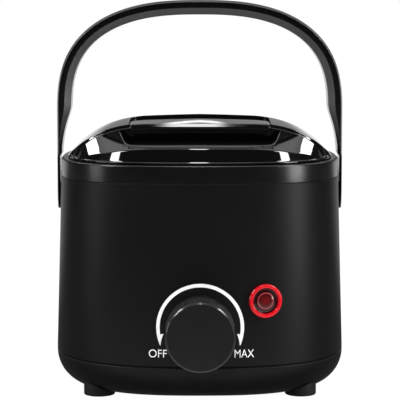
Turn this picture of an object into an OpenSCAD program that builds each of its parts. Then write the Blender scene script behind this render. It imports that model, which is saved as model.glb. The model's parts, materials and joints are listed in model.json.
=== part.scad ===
// Depilatory wax warmer: a rounded-square housing with a heated well, a lift-out pot, a domed
// lid, a folding strap handle, a rotary thermostat knob and a red pilot lamp.
// Millimetres, +Z up, front towards -Y, standing on Z = 0.

/* [Body] */
// Width of the body at the base seam
body_w = 149.6; // [140:0.2:170]
// Width of the body at its top rim
rim_w = 143.8; // [140:0.2:165]
// Squareness of the plan: 2 is a circle, higher is squarer
plan_power = 2.7; // [2.4:0.1:4]
// Wall thickness of the moulded shells
shell_wall = 2.4; // [1.8:0.1:3]
// Height of the seam between base pan and housing
base_seam_h = 19; // [17:0.5:24]
// Height of the seam between housing and collar
collar_seam_h = 109; // [106:0.5:125]
// Height of the collar above its seam
collar_h = 9.2; // [8.6:0.1:14]
// Thickness of the collar's top plate
collar_plate = 4; // [3.6:0.1:5]
// Depth of the groove that shows at a seam
seam_groove = 0.6; // [0.3:0.1:1]
// How far a shell's inner lip reaches past its seam
lip_h = 2; // [1.2:0.1:2.4]

/* [Base] */
// Clear height under the base pan
pan_clear = 2; // [1.5:0.1:5]
// How far the pan's underside rounds inwards
pan_round = 16; // [12:0.5:22]
// Diameter of a rubber foot
foot_d = 15.8; // [13:0.2:18]
// Height of the seat that a foot reaches up to
foot_seat_h = 9.6; // [8:0.2:11]
// Foot centre, in from the body's side
foot_inset_x = 23.8; // [22:0.2:30]
// Foot centre, in from the body's front and back
foot_inset_y = 28.8; // [27:0.2:34]
// Diameter of the screws through feet and lugs
screw_d = 3; // [2.5:0.1:3.5]

/* [Lid] */
// Width of the land that shows round the lid
lid_land = 3.3; // [2.5:0.1:8]
// Height of the lid above its base
lid_rise = 21.1; // [18:0.1:26]
// Wall thickness of the lid
lid_wall = 2; // [1.6:0.1:2.6]
// Height of the lower front facet
lid_facet_h = 7.3; // [5:0.1:9]
// How far the lower front facet leans back
lid_facet_in = 3.6; // [2:0.1:6]
// How far the upper front facet runs back
lid_slope_in = 31; // [26:0.5:36]
// Height of the grip pocket's floor above the lid's base
pocket_floor_h = 8.9; // [7.5:0.1:10]
// Width of the grip pocket at its floor
pocket_w = 76; // [60:0.5:80]
// How much wider the grip pocket is at the tongue's height
pocket_flare = 9.5; // [4:0.5:12]
// Width of the grip tongue over the pocket
tongue_w = 74; // [56:0.5:76]
// Thickness of the grip tongue
tongue_t = 2.8; // [2:0.1:3.2]
// Front edge of the tongue, in front of the body's axis
tongue_front = 42; // [38:0.5:46]
// Back wall of the pocket under the tongue, in front of the body's axis
pocket_back = 16; // [10:0.5:24]

/* [Handle] */
// Height of the handle's top above the rim
handle_rise = 81; // [76:0.5:100]
// Height of the handle's arch above its straight arms
arch_h = 57.7; // [48:0.5:64]
// Squareness of the handle's arch
arch_power = 2.55; // [2.2:0.05:3]
// Width of the strap, front to back
strap_w = 20; // [14:0.5:22]
// Thickness of the strap at its edges
strap_t = 4.1; // [3:0.1:5]
// How far the strap's crown stands inwards of its edges
strap_crown = 3.5; // [2:0.1:4]
// Width of the bevel beside the strap's crown
strap_bevel = 1.5; // [1:0.1:3]
// Thickness of an arm beside the body
arm_t = 1.6; // [1.4:0.1:3]
// Clearance between an arm and the body
arm_gap = 0.3; // [0.2:0.05:0.8]
// Pivot centre below the rim
pivot_drop = 18.2; // [17:0.2:22]
// Diameter of a pivot pin
pin_d = 8; // [6:0.2:9]
// Radial running clearance of pins and shafts
run_gap = 0.05; // [0.02:0.01:0.1]

/* [Controls] */
// Height of the knob's axis above the base seam
knob_rise = 19.3; // [18:0.1:30]
// Diameter of the knob
knob_d = 34; // [32:0.5:36]
// Length of the knob
knob_len = 24.3; // [20:0.1:28]
// Clearance between the knob and the panel
knob_gap = 0.95; // [0.8:0.05:1.5]
// Depth of the grooves in the knob's knurled side
knurl_depth = 0.35; // [0.2:0.05:0.6]
// Number of grooves in the knob's knurled side
knurl_count = 72; // [48:4:96]
// Diameter of the thermostat's shaft
shaft_d = 6; // [5:0.1:6.4]
// Diameter of the pilot lamp's flange
lamp_d = 18; // [16:0.2:19]
// Pilot lamp centre, right of the knob's axis
lamp_x = 31.9; // [30:0.1:36]
// Pilot lamp centre, above the knob's axis
lamp_rise = 13.5; // [10:0.1:20]
// Height of the cord gland above the base seam
gland_rise = 13; // [12:0.5:24]
// Bore of the cord gland
gland_bore_d = 6.6; // [5:0.1:7]

/* [Heater] */
// Outside diameter of the wax pot
pot_d = 111.2; // [96:0.2:112]
// Height of the wax pot
pot_h = 46.7; // [38:0.1:50]
// Wall thickness of the wax pot
pot_wall = 1.2; // [0.8:0.1:1.6]
// Width of the pot's rim
pot_rim = 4; // [3:0.1:4.4]
// Clearance between the pot and what it lifts out of
pot_gap = 0.6; // [0.4:0.1:1]
// Wall thickness of the heater well
well_wall = 1.5; // [1:0.1:2]
// Height of the band heater
band_h = 22; // [14:0.5:26]
// Thickness of the band heater
band_t = 1.7; // [1:0.1:2.2]
// Thickness of the insulation
felt_t = 3.6; // [2:0.1:4]
// Thickness of the heat shield
shield_t = 0.8; // [0.6:0.1:1.2]
// Length of a spacer above the heat shield
spacer_len = 5.7; // [4:0.1:7]

/* [Hidden] */

// Fineness of round parts and of the lofted shells
$fn = 64;
ring_steps = 64;
// Overlap that makes a cut pass right through
cut = 1;
// Gap between still faces of different moving pieces
rest_gap = 0.3;
// Gap round a screw or between nested shells
fit_gap = 0.1;

// Body levels and widths
rim_h = collar_seam_h + collar_h;
plate_under = rim_h - collar_plate;
function body_half(z) =
    body_w / 2 - (z - base_seam_h) / (rim_h - base_seam_h) * (body_w - rim_w) / 2;
// Reach of the plan at a sideways offset, for a given half width
function plan_reach(half, side) =
    half * pow(1 - pow(min(abs(side) / half, 1), plan_power), 1 / plan_power);
// Reach of a plan corner along its diagonal, for a half width of 1
corner_reach = sqrt(2) * pow(2, -1 / plan_power);

// Fasteners
screw_r = screw_d / 2;
head_r = screw_r * 1.9;
head_h = 1.8;
slot_w = 0.6;
slot_depth = 0.7;
boss_wall = 2.5;
boss_r = screw_r + boss_wall;
// Thread left free beyond a screw's end
screw_end_gap = 3;

// Base pan
foot_r = foot_d / 2;
foot_x = body_w / 2 - foot_inset_x;
foot_y = body_w / 2 - foot_inset_y;
foot_spots = [for (sx = [-1, 1], sy = [-1, 1]) [sx * foot_x, sy * foot_y]];
pan_floor = pan_clear + shell_wall;
foot_cup_r = foot_r + shell_wall;
pillar_foot = base_seam_h + 1;
pillar_h = 15;
rib_t = 2;
foot_edge = 0.8;

// Rounding of the collar's top edge
rim_round = 1;
// How far an inner lip stands in from the outside of the body
lip_inset = shell_wall + 2 * fit_gap;

// Collar corners, where lugs on the housing meet bosses on the collar
lug_top = collar_seam_h - lip_h;
lug_t = 2.5;
lug_r = boss_r + 2.5;
lug_reach = body_half(collar_seam_h) * corner_reach - shell_wall - 5.5;
lug_spots = [for (turn = [45:90:315]) lug_reach * [cos(turn), sin(turn)]];

// Wax pot and heater well
pot_r = pot_d / 2;
pot_corner = 3;
pot_flange_r = pot_r + pot_rim;
opening_gap = 0.2;
opening_r = pot_flange_r + pot_gap + opening_gap;
pot_top = plate_under + rest_gap + pot_wall;
pot_under = pot_top - pot_h;
well_in_r = pot_r + pot_gap;
well_out_r = well_in_r + well_wall;
well_flange_w = 4.6;
well_flange_r = opening_r + well_flange_w;
well_floor_t = 2;
well_floor = pot_under - rest_gap;
well_under = well_floor - well_floor_t;
well_screw_ring = (opening_r + well_flange_r) / 2;
well_screw_r = 1.25;
well_screw_head_r = well_screw_r * 1.7;
well_screw_depth = collar_plate * 0.75;
well_boss_h = 3;

// Band heater, felt and shield
band_lift = 7;
band_bottom = well_floor + band_lift;
band_in_r = well_out_r + fit_gap / 2;
band_out_r = band_in_r + band_t;
band_gap_turn = 12;
ear_reach = 7;
ear_t = 1.5;
ear_root = band_in_r + band_t / 3;
ear_inset = 4;
ear_half_gap = band_out_r * sin(band_gap_turn / 2);
bolt_r = 1.5;
bolt_head_h = 2;
band_nut_h = 2.4;
bolt_y = band_out_r + ear_reach / 2;
bolt_z = band_bottom + band_h / 2;
tab_x = 15;
tab_w = 5;
tab_t = 1;
tab_h = 6;
tab_foot = 3;
// Connection tabs stand just outside the band, with their roots in it
band_face_y = sqrt(band_out_r * band_out_r - pow(tab_x - tab_w / 2, 2));
tab_root = band_face_y - band_t / 2;
tab_y = band_face_y + 1.6;
felt_in_r = band_out_r + rest_gap;
felt_over = 4;
felt_gap_turn = 50;
shield_top = well_under - well_boss_h - spacer_len;
shield_over = 2.3;
shield_r = well_out_r + shield_over;
shield_ring = 40;
shield_spots = [for (turn = [90, 210, 330]) shield_ring * [cos(turn), sin(turn)]];
spacer_r = 3.5;
well_boss_edge = 0.5;
well_boss_r = spacer_r + well_boss_edge;
// Holes in the shield for the capillary and the fuse's lead
capillary_x = -34;
capillary_hole_r = 3;
fuse_hole_y = -20;
fuse_hole_r = 3.5;

// Knob and thermostat, measured from the panel at the knob's height
knob_h = base_seam_h + knob_rise;
panel_y = -body_half(knob_h);
dial_recess = 1.4;
nut_r = 8;
dial_recess_r = nut_r + 2;
recess_y = panel_y + dial_recess;
pad_t = 1.6;
pad_y = panel_y + shell_wall + pad_t;
pad_r = 12;
// Reach of a cut that has to clear the curved panel
panel_cut = 5;
bush_r = 4.5;
nut_t = 2.5;
bush_past_nut = 1.2;
bush_front = recess_y - nut_t - bush_past_nut;
thermo_w = 36;
thermo_depth = 30;
// Clearance between the thermostat and the heat shield, and the box's height above its shaft
thermo_gap = 1.9;
thermo_up = shield_top - shield_t - thermo_gap - knob_h;
thermo_down = 17;
thermo_back = pad_y + thermo_depth;
shaft_r = shaft_d / 2;
knob_r = knob_d / 2;
knob_back = panel_y - knob_gap;
knob_front = knob_back - knob_len;
knob_face_t = 3.5;
knob_chamfer = 1.2;
hub_wall = 3;
hub_r = shaft_r + hub_wall;
hub_back = bush_front - 0.8;
knob_wall = 2.6;
knob_hollow_r = knob_r - knob_wall;
knurl_stop = knob_chamfer + 1.2;
shaft_tip = knob_front + knob_face_t + 0.5;
shaft_end_gap = 0.2;
clip_len = 9;
clip_w = shaft_r * 0.9;
clip_t = 0.6;
flat_depth = 1;
tab_side = 8;
tab_low = knob_h - 8;
// The upper tab keeps its distance below the top of the thermostat
tab_inset = 9;
tab_high = knob_h + thermo_up - tab_inset;
tab_reach = 8;

// Pilot lamp, square to the curved panel
lamp_h = knob_h + lamp_rise;
lamp_half = body_half(lamp_h);
lamp_y = plan_reach(lamp_half, lamp_x);
lamp_turn = atan(pow(lamp_x / lamp_y, plan_power - 1));
lamp_r = lamp_d / 2;
lamp_sink = 0.6;
lamp_barrel_r = lamp_r * 0.62;
lamp_barrel_len = 13;
lamp_bore_r = lamp_barrel_r - 1.2;
lamp_pad = shell_wall + 2.6;
lamp_pad_r = lamp_barrel_r + 3.6;
lamp_nut_t = 3;
lamp_nut_r = lamp_barrel_r + 3;
lamp_stub = 2;
lamp_flange_t = 1.6;
lamp_lip_h = 2.8;
lamp_moat_h = 0.9;
lamp_dome_h = 2.2;
lamp_bulb_gap = 4;
// Inward direction at the lamp, and the back of its bulb
lamp_in = [-sin(lamp_turn), cos(lamp_turn), 0];
lamp_back = [lamp_x, -lamp_y, lamp_h] + lamp_barrel_len * lamp_in;

// Cord gland in the back wall
gland_h = base_seam_h + gland_rise;
gland_y = body_half(gland_h);
gland_bore_r = gland_bore_d / 2;
gland_wall = 2.6;
gland_barrel_r = gland_bore_r + gland_wall;
gland_flange_w = 2.3;
gland_flange_r = gland_barrel_r + gland_flange_w;
gland_out = 7;
gland_sink = 0.4;
gland_flange_t = 2;
gland_edge = 0.8;
gland_taper = 0.4;
gland_pad = shell_wall + pad_t;
gland_nut_t = 3.5;
gland_nut_wall = 3;
gland_nut_r = gland_barrel_r + gland_nut_wall;
gland_pad_r = gland_nut_r;
gland_past_nut = 1.5;
gland_in = gland_pad + gland_nut_t + gland_past_nut;

// The whole part is centred front to back between knob and gland
axis_y = (-knob_front - gland_y - gland_out) / 2;

// Handle
pivot_h = rim_h - pivot_drop;
pin_r = pin_d / 2;
strap_r = strap_w / 2;
arm_in = body_half(pivot_h - strap_r) + arm_gap;
handle_half = arm_in + arm_t;
handle_top = rim_h + handle_rise;
arch_foot = handle_top - arch_h;
strap_full = strap_t + strap_crown;
edge_round = 0.6;
boss_face = body_half(pivot_h) - shell_wall - pad_t;
pivot_boss_r = pin_r + boss_wall;
washer_r = pin_r + 2;
washer_t = 1;
washer_out = boss_face - rest_gap;
pin_end = washer_out;
pivot_screw_len = 6;

// Lid
lid_base = rim_h + rest_gap;
lid_half = rim_w / 2 - lid_land;
lid_top = lid_base + lid_rise;
lid_plate = 1.8;
lid_lip_gap = 0.5;
lid_lip_r = opening_r - lid_lip_gap;
lid_lip_t = 2;
lid_lip_h = rim_h - pot_top - rest_gap;
// Shares of the lid's half width where its side curve bends and where its top is flat
lid_shoulder = 0.772;
lid_flat = 0.4;
front_drop = 5;
arch_steps = 10;
tongue_sink = 3.6;
tongue_top = lid_rise - tongue_sink;
tongue_corner_r = 6;

// Terminal block on the pan's floor
block_w = 30;
block_d = 16;
block_h = 13;
block_y = 34;
way_x = 9;
way_z = pan_floor + 6;
way_r = 2.2;
way_depth = 3.5;
way_screw_h = 2.5;
block_hole_depth = shell_wall * 0.75;
lead_r = 1.3;
lamp_lead_r = 0.8;
// Straight length of a lead where it leaves a terminal, and how far it strays on its way
lead_straight = 8;
lead_sway = 6;

// Sensor bulb and fuse under the well
bulb_r = 2.4;
capillary_r = 0.9;
bulb_len = 40;
bulb_y = -6;
seat_gap = 0.2;
bulb_z = well_under - seat_gap - bulb_r;
bulb_clip_w = 5;
fuse_r = 2.1;
fuse_len = 14;
fuse_x = -tab_x;
fuse_y = 24;
fuse_z = well_under - seat_gap - fuse_r;
fuse_clip_w = 6;
strap_plate = 0.8;

// Shared shapes

// Puts a sub-part on the body's axis
module on_axis() translate([0, axis_y, 0]) children();

// One ring of the plan, with its own half width and front and back half depths
function ring(half_x, front_y, back_y, z) = [
    for (i = [0:ring_steps - 1])
        let (
            t = 360 * i / ring_steps,
            r = pow(pow(abs(cos(t)), plan_power) + pow(abs(sin(t)), plan_power), -1 / plan_power),
            y = r * sin(t)
        )
        [half_x * r * cos(t), y < 0 ? front_y * y : back_y * y, z]
];

// Two triangles on each side between one ring and the next, as numbers of points
function band_faces(from, to, n) = [
    for (i = [0:n - 1])
        each [
            [from * n + i, to * n + (i + 1) % n, from * n + (i + 1) % n],
            [from * n + i, to * n + i, to * n + (i + 1) % n]
        ]
];

// Solid skin over rings that all have the same number of points. A hollow skin runs out, over and
// back inside, and joins its last ring to its first; any other is capped at both ends.
module skin(rings, hollow = false) {
    n = len(rings[0]);
    last = len(rings) - 1;
    polyhedron(
        points = [for (r = rings) each r],
        faces = [
            for (k = [0:last - 1]) each band_faces(k, k + 1, n),
            if (hollow) each band_faces(last, 0, n),
            if (!hollow) [for (i = [0:n - 1]) i],
            if (!hollow) [for (i = [n - 1:-1:0]) last * n + i]
        ]
    );
}

// Square-plan loft through levels of [half width, height]
module loft(levels, hollow = false)
    skin([for (l = levels) ring(l[0], l[0], l[0], l[1])], hollow);

// Level of the straight-sided body at a height, drawn in by an inset
function body_level(z, inset = 0) = [body_half(z) - inset, z];

// Cylinder that runs towards the front
module forward(r, from, to) translate([0, from, 0]) rotate([90, 0, 0]) cylinder(r = r, h = from - to);

// Puts a shape on the panel at the lamp, with -Y pointing straight out
module at_lamp() translate([lamp_x, -lamp_y, lamp_h]) rotate([0, 0, lamp_turn]) children();

// Puts a shape on the back wall at the gland, with -Y pointing straight out
module at_gland() translate([0, gland_y, gland_h]) rotate([0, 0, 180]) children();

// Screw that points up, with its head's underside at zero
module screw_up(shank_r, cap_r, length) {
    cylinder(r = shank_r, h = length);
    translate([0, 0, -head_h]) difference() {
        cylinder(r = cap_r, h = head_h);
        for (turn = [0, 90])
            rotate([0, 0, turn])
                translate([-cap_r * 0.6, -slot_w / 2, -cut]) cube([cap_r * 1.2, slot_w, cut + slot_depth]);
    }
}

// Smooth run of points through a short list of stations
function blend(a, b, c, d, t) =
    0.5 * (2 * b + (c - a) * t + (2 * a - 5 * b + 4 * c - d) * t * t
        + (3 * b - a - 3 * c + d) * t * t * t);
function smooth_run(p, steps = 4) = [
    for (i = [0:len(p) - 2], k = [0:steps - 1])
        blend(p[max(i - 1, 0)], p[i], p[i + 1], p[min(i + 2, len(p) - 1)], k / steps),
    p[len(p) - 1]
];
function unit(v) = v / norm(v);
function heading(p, i) = unit(p[min(i + 1, len(p) - 1)] - p[max(i - 1, 0)]);
// Heading along a run, held square at both ends to the stations there
function run_heading(stations, p, i) =
    i == 0 ? unit(stations[1] - stations[0])
    : i == len(p) - 1 ? unit(stations[len(stations) - 1] - stations[len(stations) - 2])
    : heading(p, i);
function square_to(v, t) = unit(v - (v * t) * t);

// Round lead along a run of points, its side vectors carried from ring to ring
module lead(stations, r, sides = 8) {
    p = smooth_run(stations);
    turns = [for (i = [0:len(p) - 1]) run_heading(stations, p, i)];
    aside = abs(turns[0].x) < 0.8 ? [1, 0, 0] : [0, 1, 0];
    frames = [
        for (i = 0, v = square_to(aside, turns[0]); i < len(p);
            i = i + 1, v = i < len(p) ? square_to(v, turns[i]) : v) v
    ];
    skin([
        for (i = [0:len(p) - 1])
            let (v = frames[i], w = cross(turns[i], v))
            [for (s = [0:sides - 1]) p[i] + r * (cos(360 * s / sides) * v + sin(360 * s / sides) * w)]
    ]);
}

// Sub-parts

module housing() color("#1b1b1c") on_axis() difference() {
    union() {
        loft([
            body_level(base_seam_h, seam_groove), body_level(base_seam_h + seam_groove),
            body_level(collar_seam_h), body_level(collar_seam_h, shell_wall),
            body_level(base_seam_h, shell_wall)
        ], hollow = true);
        for (p = lug_spots)
            translate([p.x, p.y, lug_top - lug_t]) cylinder(r = lug_r, h = lug_t);
        for (p = foot_spots)
            translate([p.x, p.y, pillar_foot]) {
                cylinder(r = boss_r, h = pillar_h);
                rotate([0, 0, atan2(p.y, p.x)])
                    translate([0, -rib_t / 2, cut]) cube([pillar_rib(p), rib_t, pillar_h - cut]);
            }
        translate([0, 0, knob_h]) forward(pad_r, pad_y, (recess_y + pad_y) / 2);
        at_lamp() forward(lamp_pad_r, lamp_pad, shell_wall / 2);
        at_gland() forward(gland_pad_r, gland_pad, shell_wall / 2);
        for (side = [-1, 1])
            translate([side * boss_face, 0, pivot_h])
                rotate([0, side * 90, 0]) cylinder(r = pivot_boss_r, h = shell_wall / 2 + pad_t);
    }
    for (p = lug_spots)
        translate([p.x, p.y, lug_top - lug_t - cut]) cylinder(r = screw_r + fit_gap, h = lug_t + 2 * cut);
    for (p = foot_spots)
        translate([p.x, p.y, pillar_foot - cut]) cylinder(r = screw_r + fit_gap / 2, h = pillar_h);
    translate([0, 0, knob_h]) {
        forward(dial_recess_r, recess_y, panel_y - panel_cut);
        forward(bush_r + fit_gap, pad_y + cut, panel_y - cut);
    }
    at_lamp() {
        forward(lamp_r + fit_gap, lamp_sink, -panel_cut);
        forward(lamp_barrel_r + fit_gap, lamp_pad + cut, -cut);
    }
    at_gland() {
        forward(gland_flange_r + fit_gap, gland_sink, -panel_cut);
        forward(gland_barrel_r + fit_gap, gland_pad + cut, -cut);
    }
    rotate([0, 90, 0]) translate([-pivot_h, 0, -handle_half])
        cylinder(r = pin_r + run_gap, h = 2 * handle_half);
}
// Length of the rib that ties a pillar to the wall near its corner
function pillar_rib(p) =
    plan_diagonal(body_half(pillar_foot + pillar_h) - shell_wall / 2, atan2(abs(p.y), abs(p.x))) - norm(p);
function plan_diagonal(half, turn) =
    half * pow(pow(cos(turn), plan_power) + pow(sin(turn), plan_power), -1 / plan_power);

module top_collar() color("#202021") on_axis() difference() {
    union() {
        loft([
            body_level(plate_under, shell_wall), body_level(collar_seam_h + cut, shell_wall),
            body_level(collar_seam_h + cut, 2 * shell_wall), body_level(lug_top, 2 * shell_wall),
            body_level(lug_top, lip_inset), body_level(collar_seam_h, lip_inset),
            body_level(collar_seam_h, seam_groove / 2), body_level(collar_seam_h + seam_groove / 2),
            body_level(rim_h - rim_round), body_level(rim_h - rim_round * 0.3, rim_round * 0.3),
            body_level(rim_h, rim_round)
        ]);
        for (p = lug_spots)
            translate([p.x, p.y, lug_top]) cylinder(r = boss_r, h = plate_under - lug_top + cut);
    }
    translate([0, 0, plate_under - cut]) cylinder(r = opening_r, h = collar_plate + 2 * cut);
    for (p = lug_spots)
        translate([p.x, p.y, lug_top - cut]) cylinder(r = screw_r + fit_gap / 2, h = collar_h);
    for (turn = [30:60:330])
        rotate([0, 0, turn]) translate([well_screw_ring, 0, plate_under - cut])
            cylinder(r = well_screw_r + fit_gap / 2, h = cut + well_screw_depth);
}

// Levels of the pan's round underside, a quarter ellipse taken up to a given turn
pan_side_h = base_seam_h - seam_groove;
pan_steps = 6;
function pan_levels(inset, turn = 90) = [
    for (t = [0:turn / pan_steps:turn + 0.01])
        [
            body_w / 2 - pan_round * (1 - sin(t)) - inset,
            pan_side_h - (pan_side_h - pan_clear - inset) * cos(t)
        ]
];
// Where the foot of the pan's inner lip meets its inner wall
pan_lip_foot = base_seam_h - 2 * lip_h;
pan_lip_turn = acos((pan_side_h - pan_lip_foot) / (pan_side_h - pan_clear - shell_wall));
pan_inside = pan_levels(shell_wall, pan_lip_turn);

module base_pan() color("#171718") on_axis() difference() {
    union() {
        loft([
            each pan_levels(0), body_level(base_seam_h, seam_groove), body_level(base_seam_h, lip_inset),
            body_level(base_seam_h + lip_h, lip_inset), body_level(base_seam_h + lip_h, 2 * shell_wall),
            body_level(pan_lip_foot, 2 * shell_wall), for (i = [pan_steps:-1:0]) pan_inside[i]
        ]);
        intersection() {
            for (p = foot_spots)
                translate([p.x, p.y, 0]) {
                    cylinder(r = foot_cup_r, h = foot_seat_h + shell_wall);
                    cylinder(r = boss_r, h = pillar_foot);
                }
            loft([each pan_levels(shell_wall / 2), [body_w / 2 - shell_wall / 2, base_seam_h + lip_h]]);
        }
    }
    for (p = foot_spots)
        translate([p.x, p.y, 0]) {
            translate([0, 0, -cut]) cylinder(r = foot_r + fit_gap, h = foot_seat_h + cut);
            cylinder(r = screw_r + fit_gap, h = pillar_foot + cut);
        }
    translate([0, block_y + block_d / 2, pan_floor - block_hole_depth])
        cylinder(r = screw_r + fit_gap / 2, h = shell_wall);
}

module rubber_feet() color("#111112") on_axis() for (p = foot_spots)
    translate([p.x, p.y, 0]) difference() {
        rotate_extrude()
            polygon([
                [0, 0], [foot_r - foot_edge, 0], [foot_r, foot_edge], [foot_r, foot_seat_h],
                [0, foot_seat_h]
            ]);
        translate([0, 0, -cut]) cylinder(r = head_r + 2 * fit_gap, h = foot_seat_h / 2 + cut);
        cylinder(r = screw_r + fit_gap, h = foot_seat_h + cut);
    }

module base_screws() color("silver") on_axis() for (p = foot_spots)
    translate([p.x, p.y, foot_seat_h / 2])
        screw_up(screw_r, head_r, pillar_foot + pillar_h - foot_seat_h / 2 - screw_end_gap);

module collar_screws() color("silver") on_axis() for (p = lug_spots)
    translate([p.x, p.y, lug_top - lug_t]) screw_up(screw_r, head_r, lug_t + collar_h - screw_end_gap);

module heater_well() color("#b9bcc0") on_axis() difference() {
    union() {
        rotate_extrude()
            polygon([
                [0, well_under], [well_out_r - pot_corner, well_under],
                [well_out_r, well_under + pot_corner],
                [well_out_r, plate_under - well_wall], [well_flange_r, plate_under - well_wall],
                [well_flange_r, plate_under], [well_in_r, plate_under],
                [well_in_r, well_floor + pot_corner], [well_in_r - pot_corner, well_floor], [0, well_floor]
            ]);
        for (p = shield_spots)
            translate([p.x, p.y, well_under - well_boss_h]) cylinder(r = well_boss_r, h = well_boss_h);
    }
    for (p = shield_spots)
        translate([p.x, p.y, well_under - well_boss_h - cut])
            cylinder(r = screw_r + fit_gap / 2, h = well_boss_h + cut + well_floor_t / 2);
    for (turn = [30:60:330])
        rotate([0, 0, turn]) translate([well_screw_ring, 0, plate_under - well_wall - cut])
            cylinder(r = well_screw_r + fit_gap, h = well_wall + 2 * cut);
}

module well_screws() color("silver") on_axis() for (turn = [30:60:330])
    rotate([0, 0, turn]) translate([well_screw_ring, 0, plate_under - well_wall])
        screw_up(well_screw_r, well_screw_head_r, well_wall + well_screw_depth - rest_gap);

module wax_pot() color("#c6c8cb") on_axis() rotate_extrude()
    polygon([
        [0, pot_under], [pot_r - pot_corner, pot_under], [pot_r, pot_under + pot_corner],
        [pot_r, pot_top - pot_wall], [pot_flange_r, pot_top - pot_wall], [pot_flange_r, pot_top],
        [pot_r - pot_wall, pot_top], [pot_r - pot_wall, pot_under + pot_corner + pot_wall / 2],
        [pot_r - pot_corner - pot_wall / 2, pot_under + pot_wall], [0, pot_under + pot_wall]
    ]);

module heater_band() color("#a88f62") on_axis() difference() {
    union() {
        rotate([0, 0, 90 + band_gap_turn / 2]) rotate_extrude(angle = 360 - band_gap_turn)
            translate([band_in_r, band_bottom]) square([band_t, band_h]);
        for (side = [-1, 1]) {
            translate([side * (ear_half_gap + ear_t / 2) - ear_t / 2, ear_root, band_bottom + ear_inset])
                cube([ear_t, band_out_r + ear_reach - ear_root, band_h - 2 * ear_inset]);
            translate([side * tab_x - tab_w / 2, tab_y, band_bottom - tab_h]) {
                cube([tab_w, tab_t, tab_h + tab_foot]);
                translate([0, tab_root - tab_y, tab_h]) cube([tab_w, tab_y - tab_root + tab_t, tab_foot]);
            }
        }
    }
    rotate([0, 90, 0]) translate([-bolt_z, bolt_y, -ear_half_gap - ear_t - cut])
        cylinder(r = bolt_r + fit_gap, h = 2 * (ear_half_gap + ear_t + cut));
}

module band_bolt() color("silver") on_axis()
    translate([ear_half_gap + ear_t, bolt_y, bolt_z]) rotate([0, -90, 0]) {
        cylinder(r = bolt_r, h = 2 * (ear_half_gap + ear_t) + band_nut_h + cut);
        translate([0, 0, -bolt_head_h]) cylinder(r = bolt_r * 1.8, h = bolt_head_h);
    }

module band_nut() color("silver") on_axis()
    translate([-ear_half_gap - ear_t, bolt_y, bolt_z]) rotate([0, -90, 0]) difference() {
        cylinder(r = bolt_r * 2, h = band_nut_h, $fn = 6);
        translate([0, 0, -cut]) cylinder(r = bolt_r + fit_gap / 2, h = band_nut_h + 2 * cut);
    }

module insulation_wrap() color("#d8d2c4") on_axis()
    rotate([0, 0, 90 + felt_gap_turn / 2]) rotate_extrude(angle = 360 - felt_gap_turn)
        translate([felt_in_r, band_bottom - felt_over]) square([felt_t, band_h + 2 * felt_over]);

module heat_shield() color("#9fa3a8") on_axis() difference() {
    translate([0, 0, shield_top - shield_t]) cylinder(r = shield_r, h = shield_t);
    for (p = shield_spots)
        translate([p.x, p.y, shield_top - shield_t - cut])
            cylinder(r = screw_r + fit_gap, h = shield_t + 2 * cut);
    translate([capillary_x, bulb_y, shield_top - shield_t - cut])
        cylinder(r = capillary_hole_r, h = shield_t + 2 * cut);
    translate([fuse_x, fuse_hole_y, shield_top - shield_t - cut])
        cylinder(r = fuse_hole_r, h = shield_t + 2 * cut);
}

module shield_spacers() color("#c9cacc") on_axis() for (p = shield_spots)
    translate([p.x, p.y, shield_top]) difference() {
        cylinder(r = spacer_r, h = spacer_len);
        translate([0, 0, -cut]) cylinder(r = screw_r + fit_gap, h = spacer_len + 2 * cut);
    }

module shield_screws() color("silver") on_axis() for (p = shield_spots)
    translate([p.x, p.y, shield_top - shield_t])
        screw_up(screw_r, head_r, shield_t + spacer_len + well_boss_h + well_floor_t / 2 - rest_gap);

module thermostat_body() color("#cfc9ba") on_axis() difference() {
    union() {
        translate([-thermo_w / 2, pad_y, knob_h - thermo_down])
            cube([thermo_w, thermo_depth, thermo_up + thermo_down]);
        translate([0, 0, knob_h]) forward(bush_r, pad_y + cut, bush_front);
        for (z = [tab_low, tab_high])
            translate([-tab_side - tab_w / 2, thermo_back - cut, z - tab_t / 2])
                cube([tab_w, tab_reach + cut, tab_t]);
    }
    translate([0, 0, knob_h]) forward(shaft_r + run_gap, pad_y + thermo_depth / 2, bush_front - cut);
}

module thermostat_nut() color("silver") on_axis() translate([0, 0, knob_h]) difference() {
    translate([0, recess_y, 0]) rotate([90, 0, 0]) cylinder(r = nut_r, h = nut_t, $fn = 6);
    forward(bush_r + fit_gap / 2, recess_y + cut, bush_front - cut);
}

module thermostat_shaft() color("#d3d4d6") on_axis() translate([0, 0, knob_h]) difference() {
    forward(shaft_r, pad_y + thermo_depth / 2 - rest_gap, shaft_tip);
    translate([-shaft_r, shaft_tip - cut, shaft_r - flat_depth]) cube([2 * shaft_r, clip_len + cut, shaft_r]);
}

module knob() color("#1d1d1e") on_axis() translate([0, 0, knob_h]) difference() {
    union() {
        difference() {
            translate([0, knob_back, 0]) rotate([90, 0, 0]) rotate_extrude()
                polygon([
                    [0, 0], [knob_r, 0], [knob_r, knob_len - knob_chamfer],
                    [knob_r - knob_chamfer, knob_len], [0, knob_len]
                ]);
            forward(knob_hollow_r, knob_back + cut, knob_front + knob_face_t);
            for (i = [0:knurl_count - 1])
                rotate([0, 360 * i / knurl_count, 0])
                    translate([knob_r, knob_back + cut, 0]) rotate([90, 0, 0]) rotate([0, 0, 45])
                        translate([-knurl_depth / sqrt(2), -knurl_depth / sqrt(2), 0])
                            cube([2 * knurl_depth, 2 * knurl_depth, knob_len - knurl_stop + cut]);
        }
        forward(hub_r, hub_back, knob_front + knob_face_t / 2);
    }
    forward(shaft_r + fit_gap / 2, hub_back + cut, shaft_tip - shaft_end_gap);
}

module knob_clip() color("#b0b2b5") on_axis()
    translate([-clip_w / 2, shaft_tip + clip_t, knob_h + shaft_r - flat_depth + fit_gap / 2])
        cube([clip_w, clip_len - cut, clip_t]);

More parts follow.
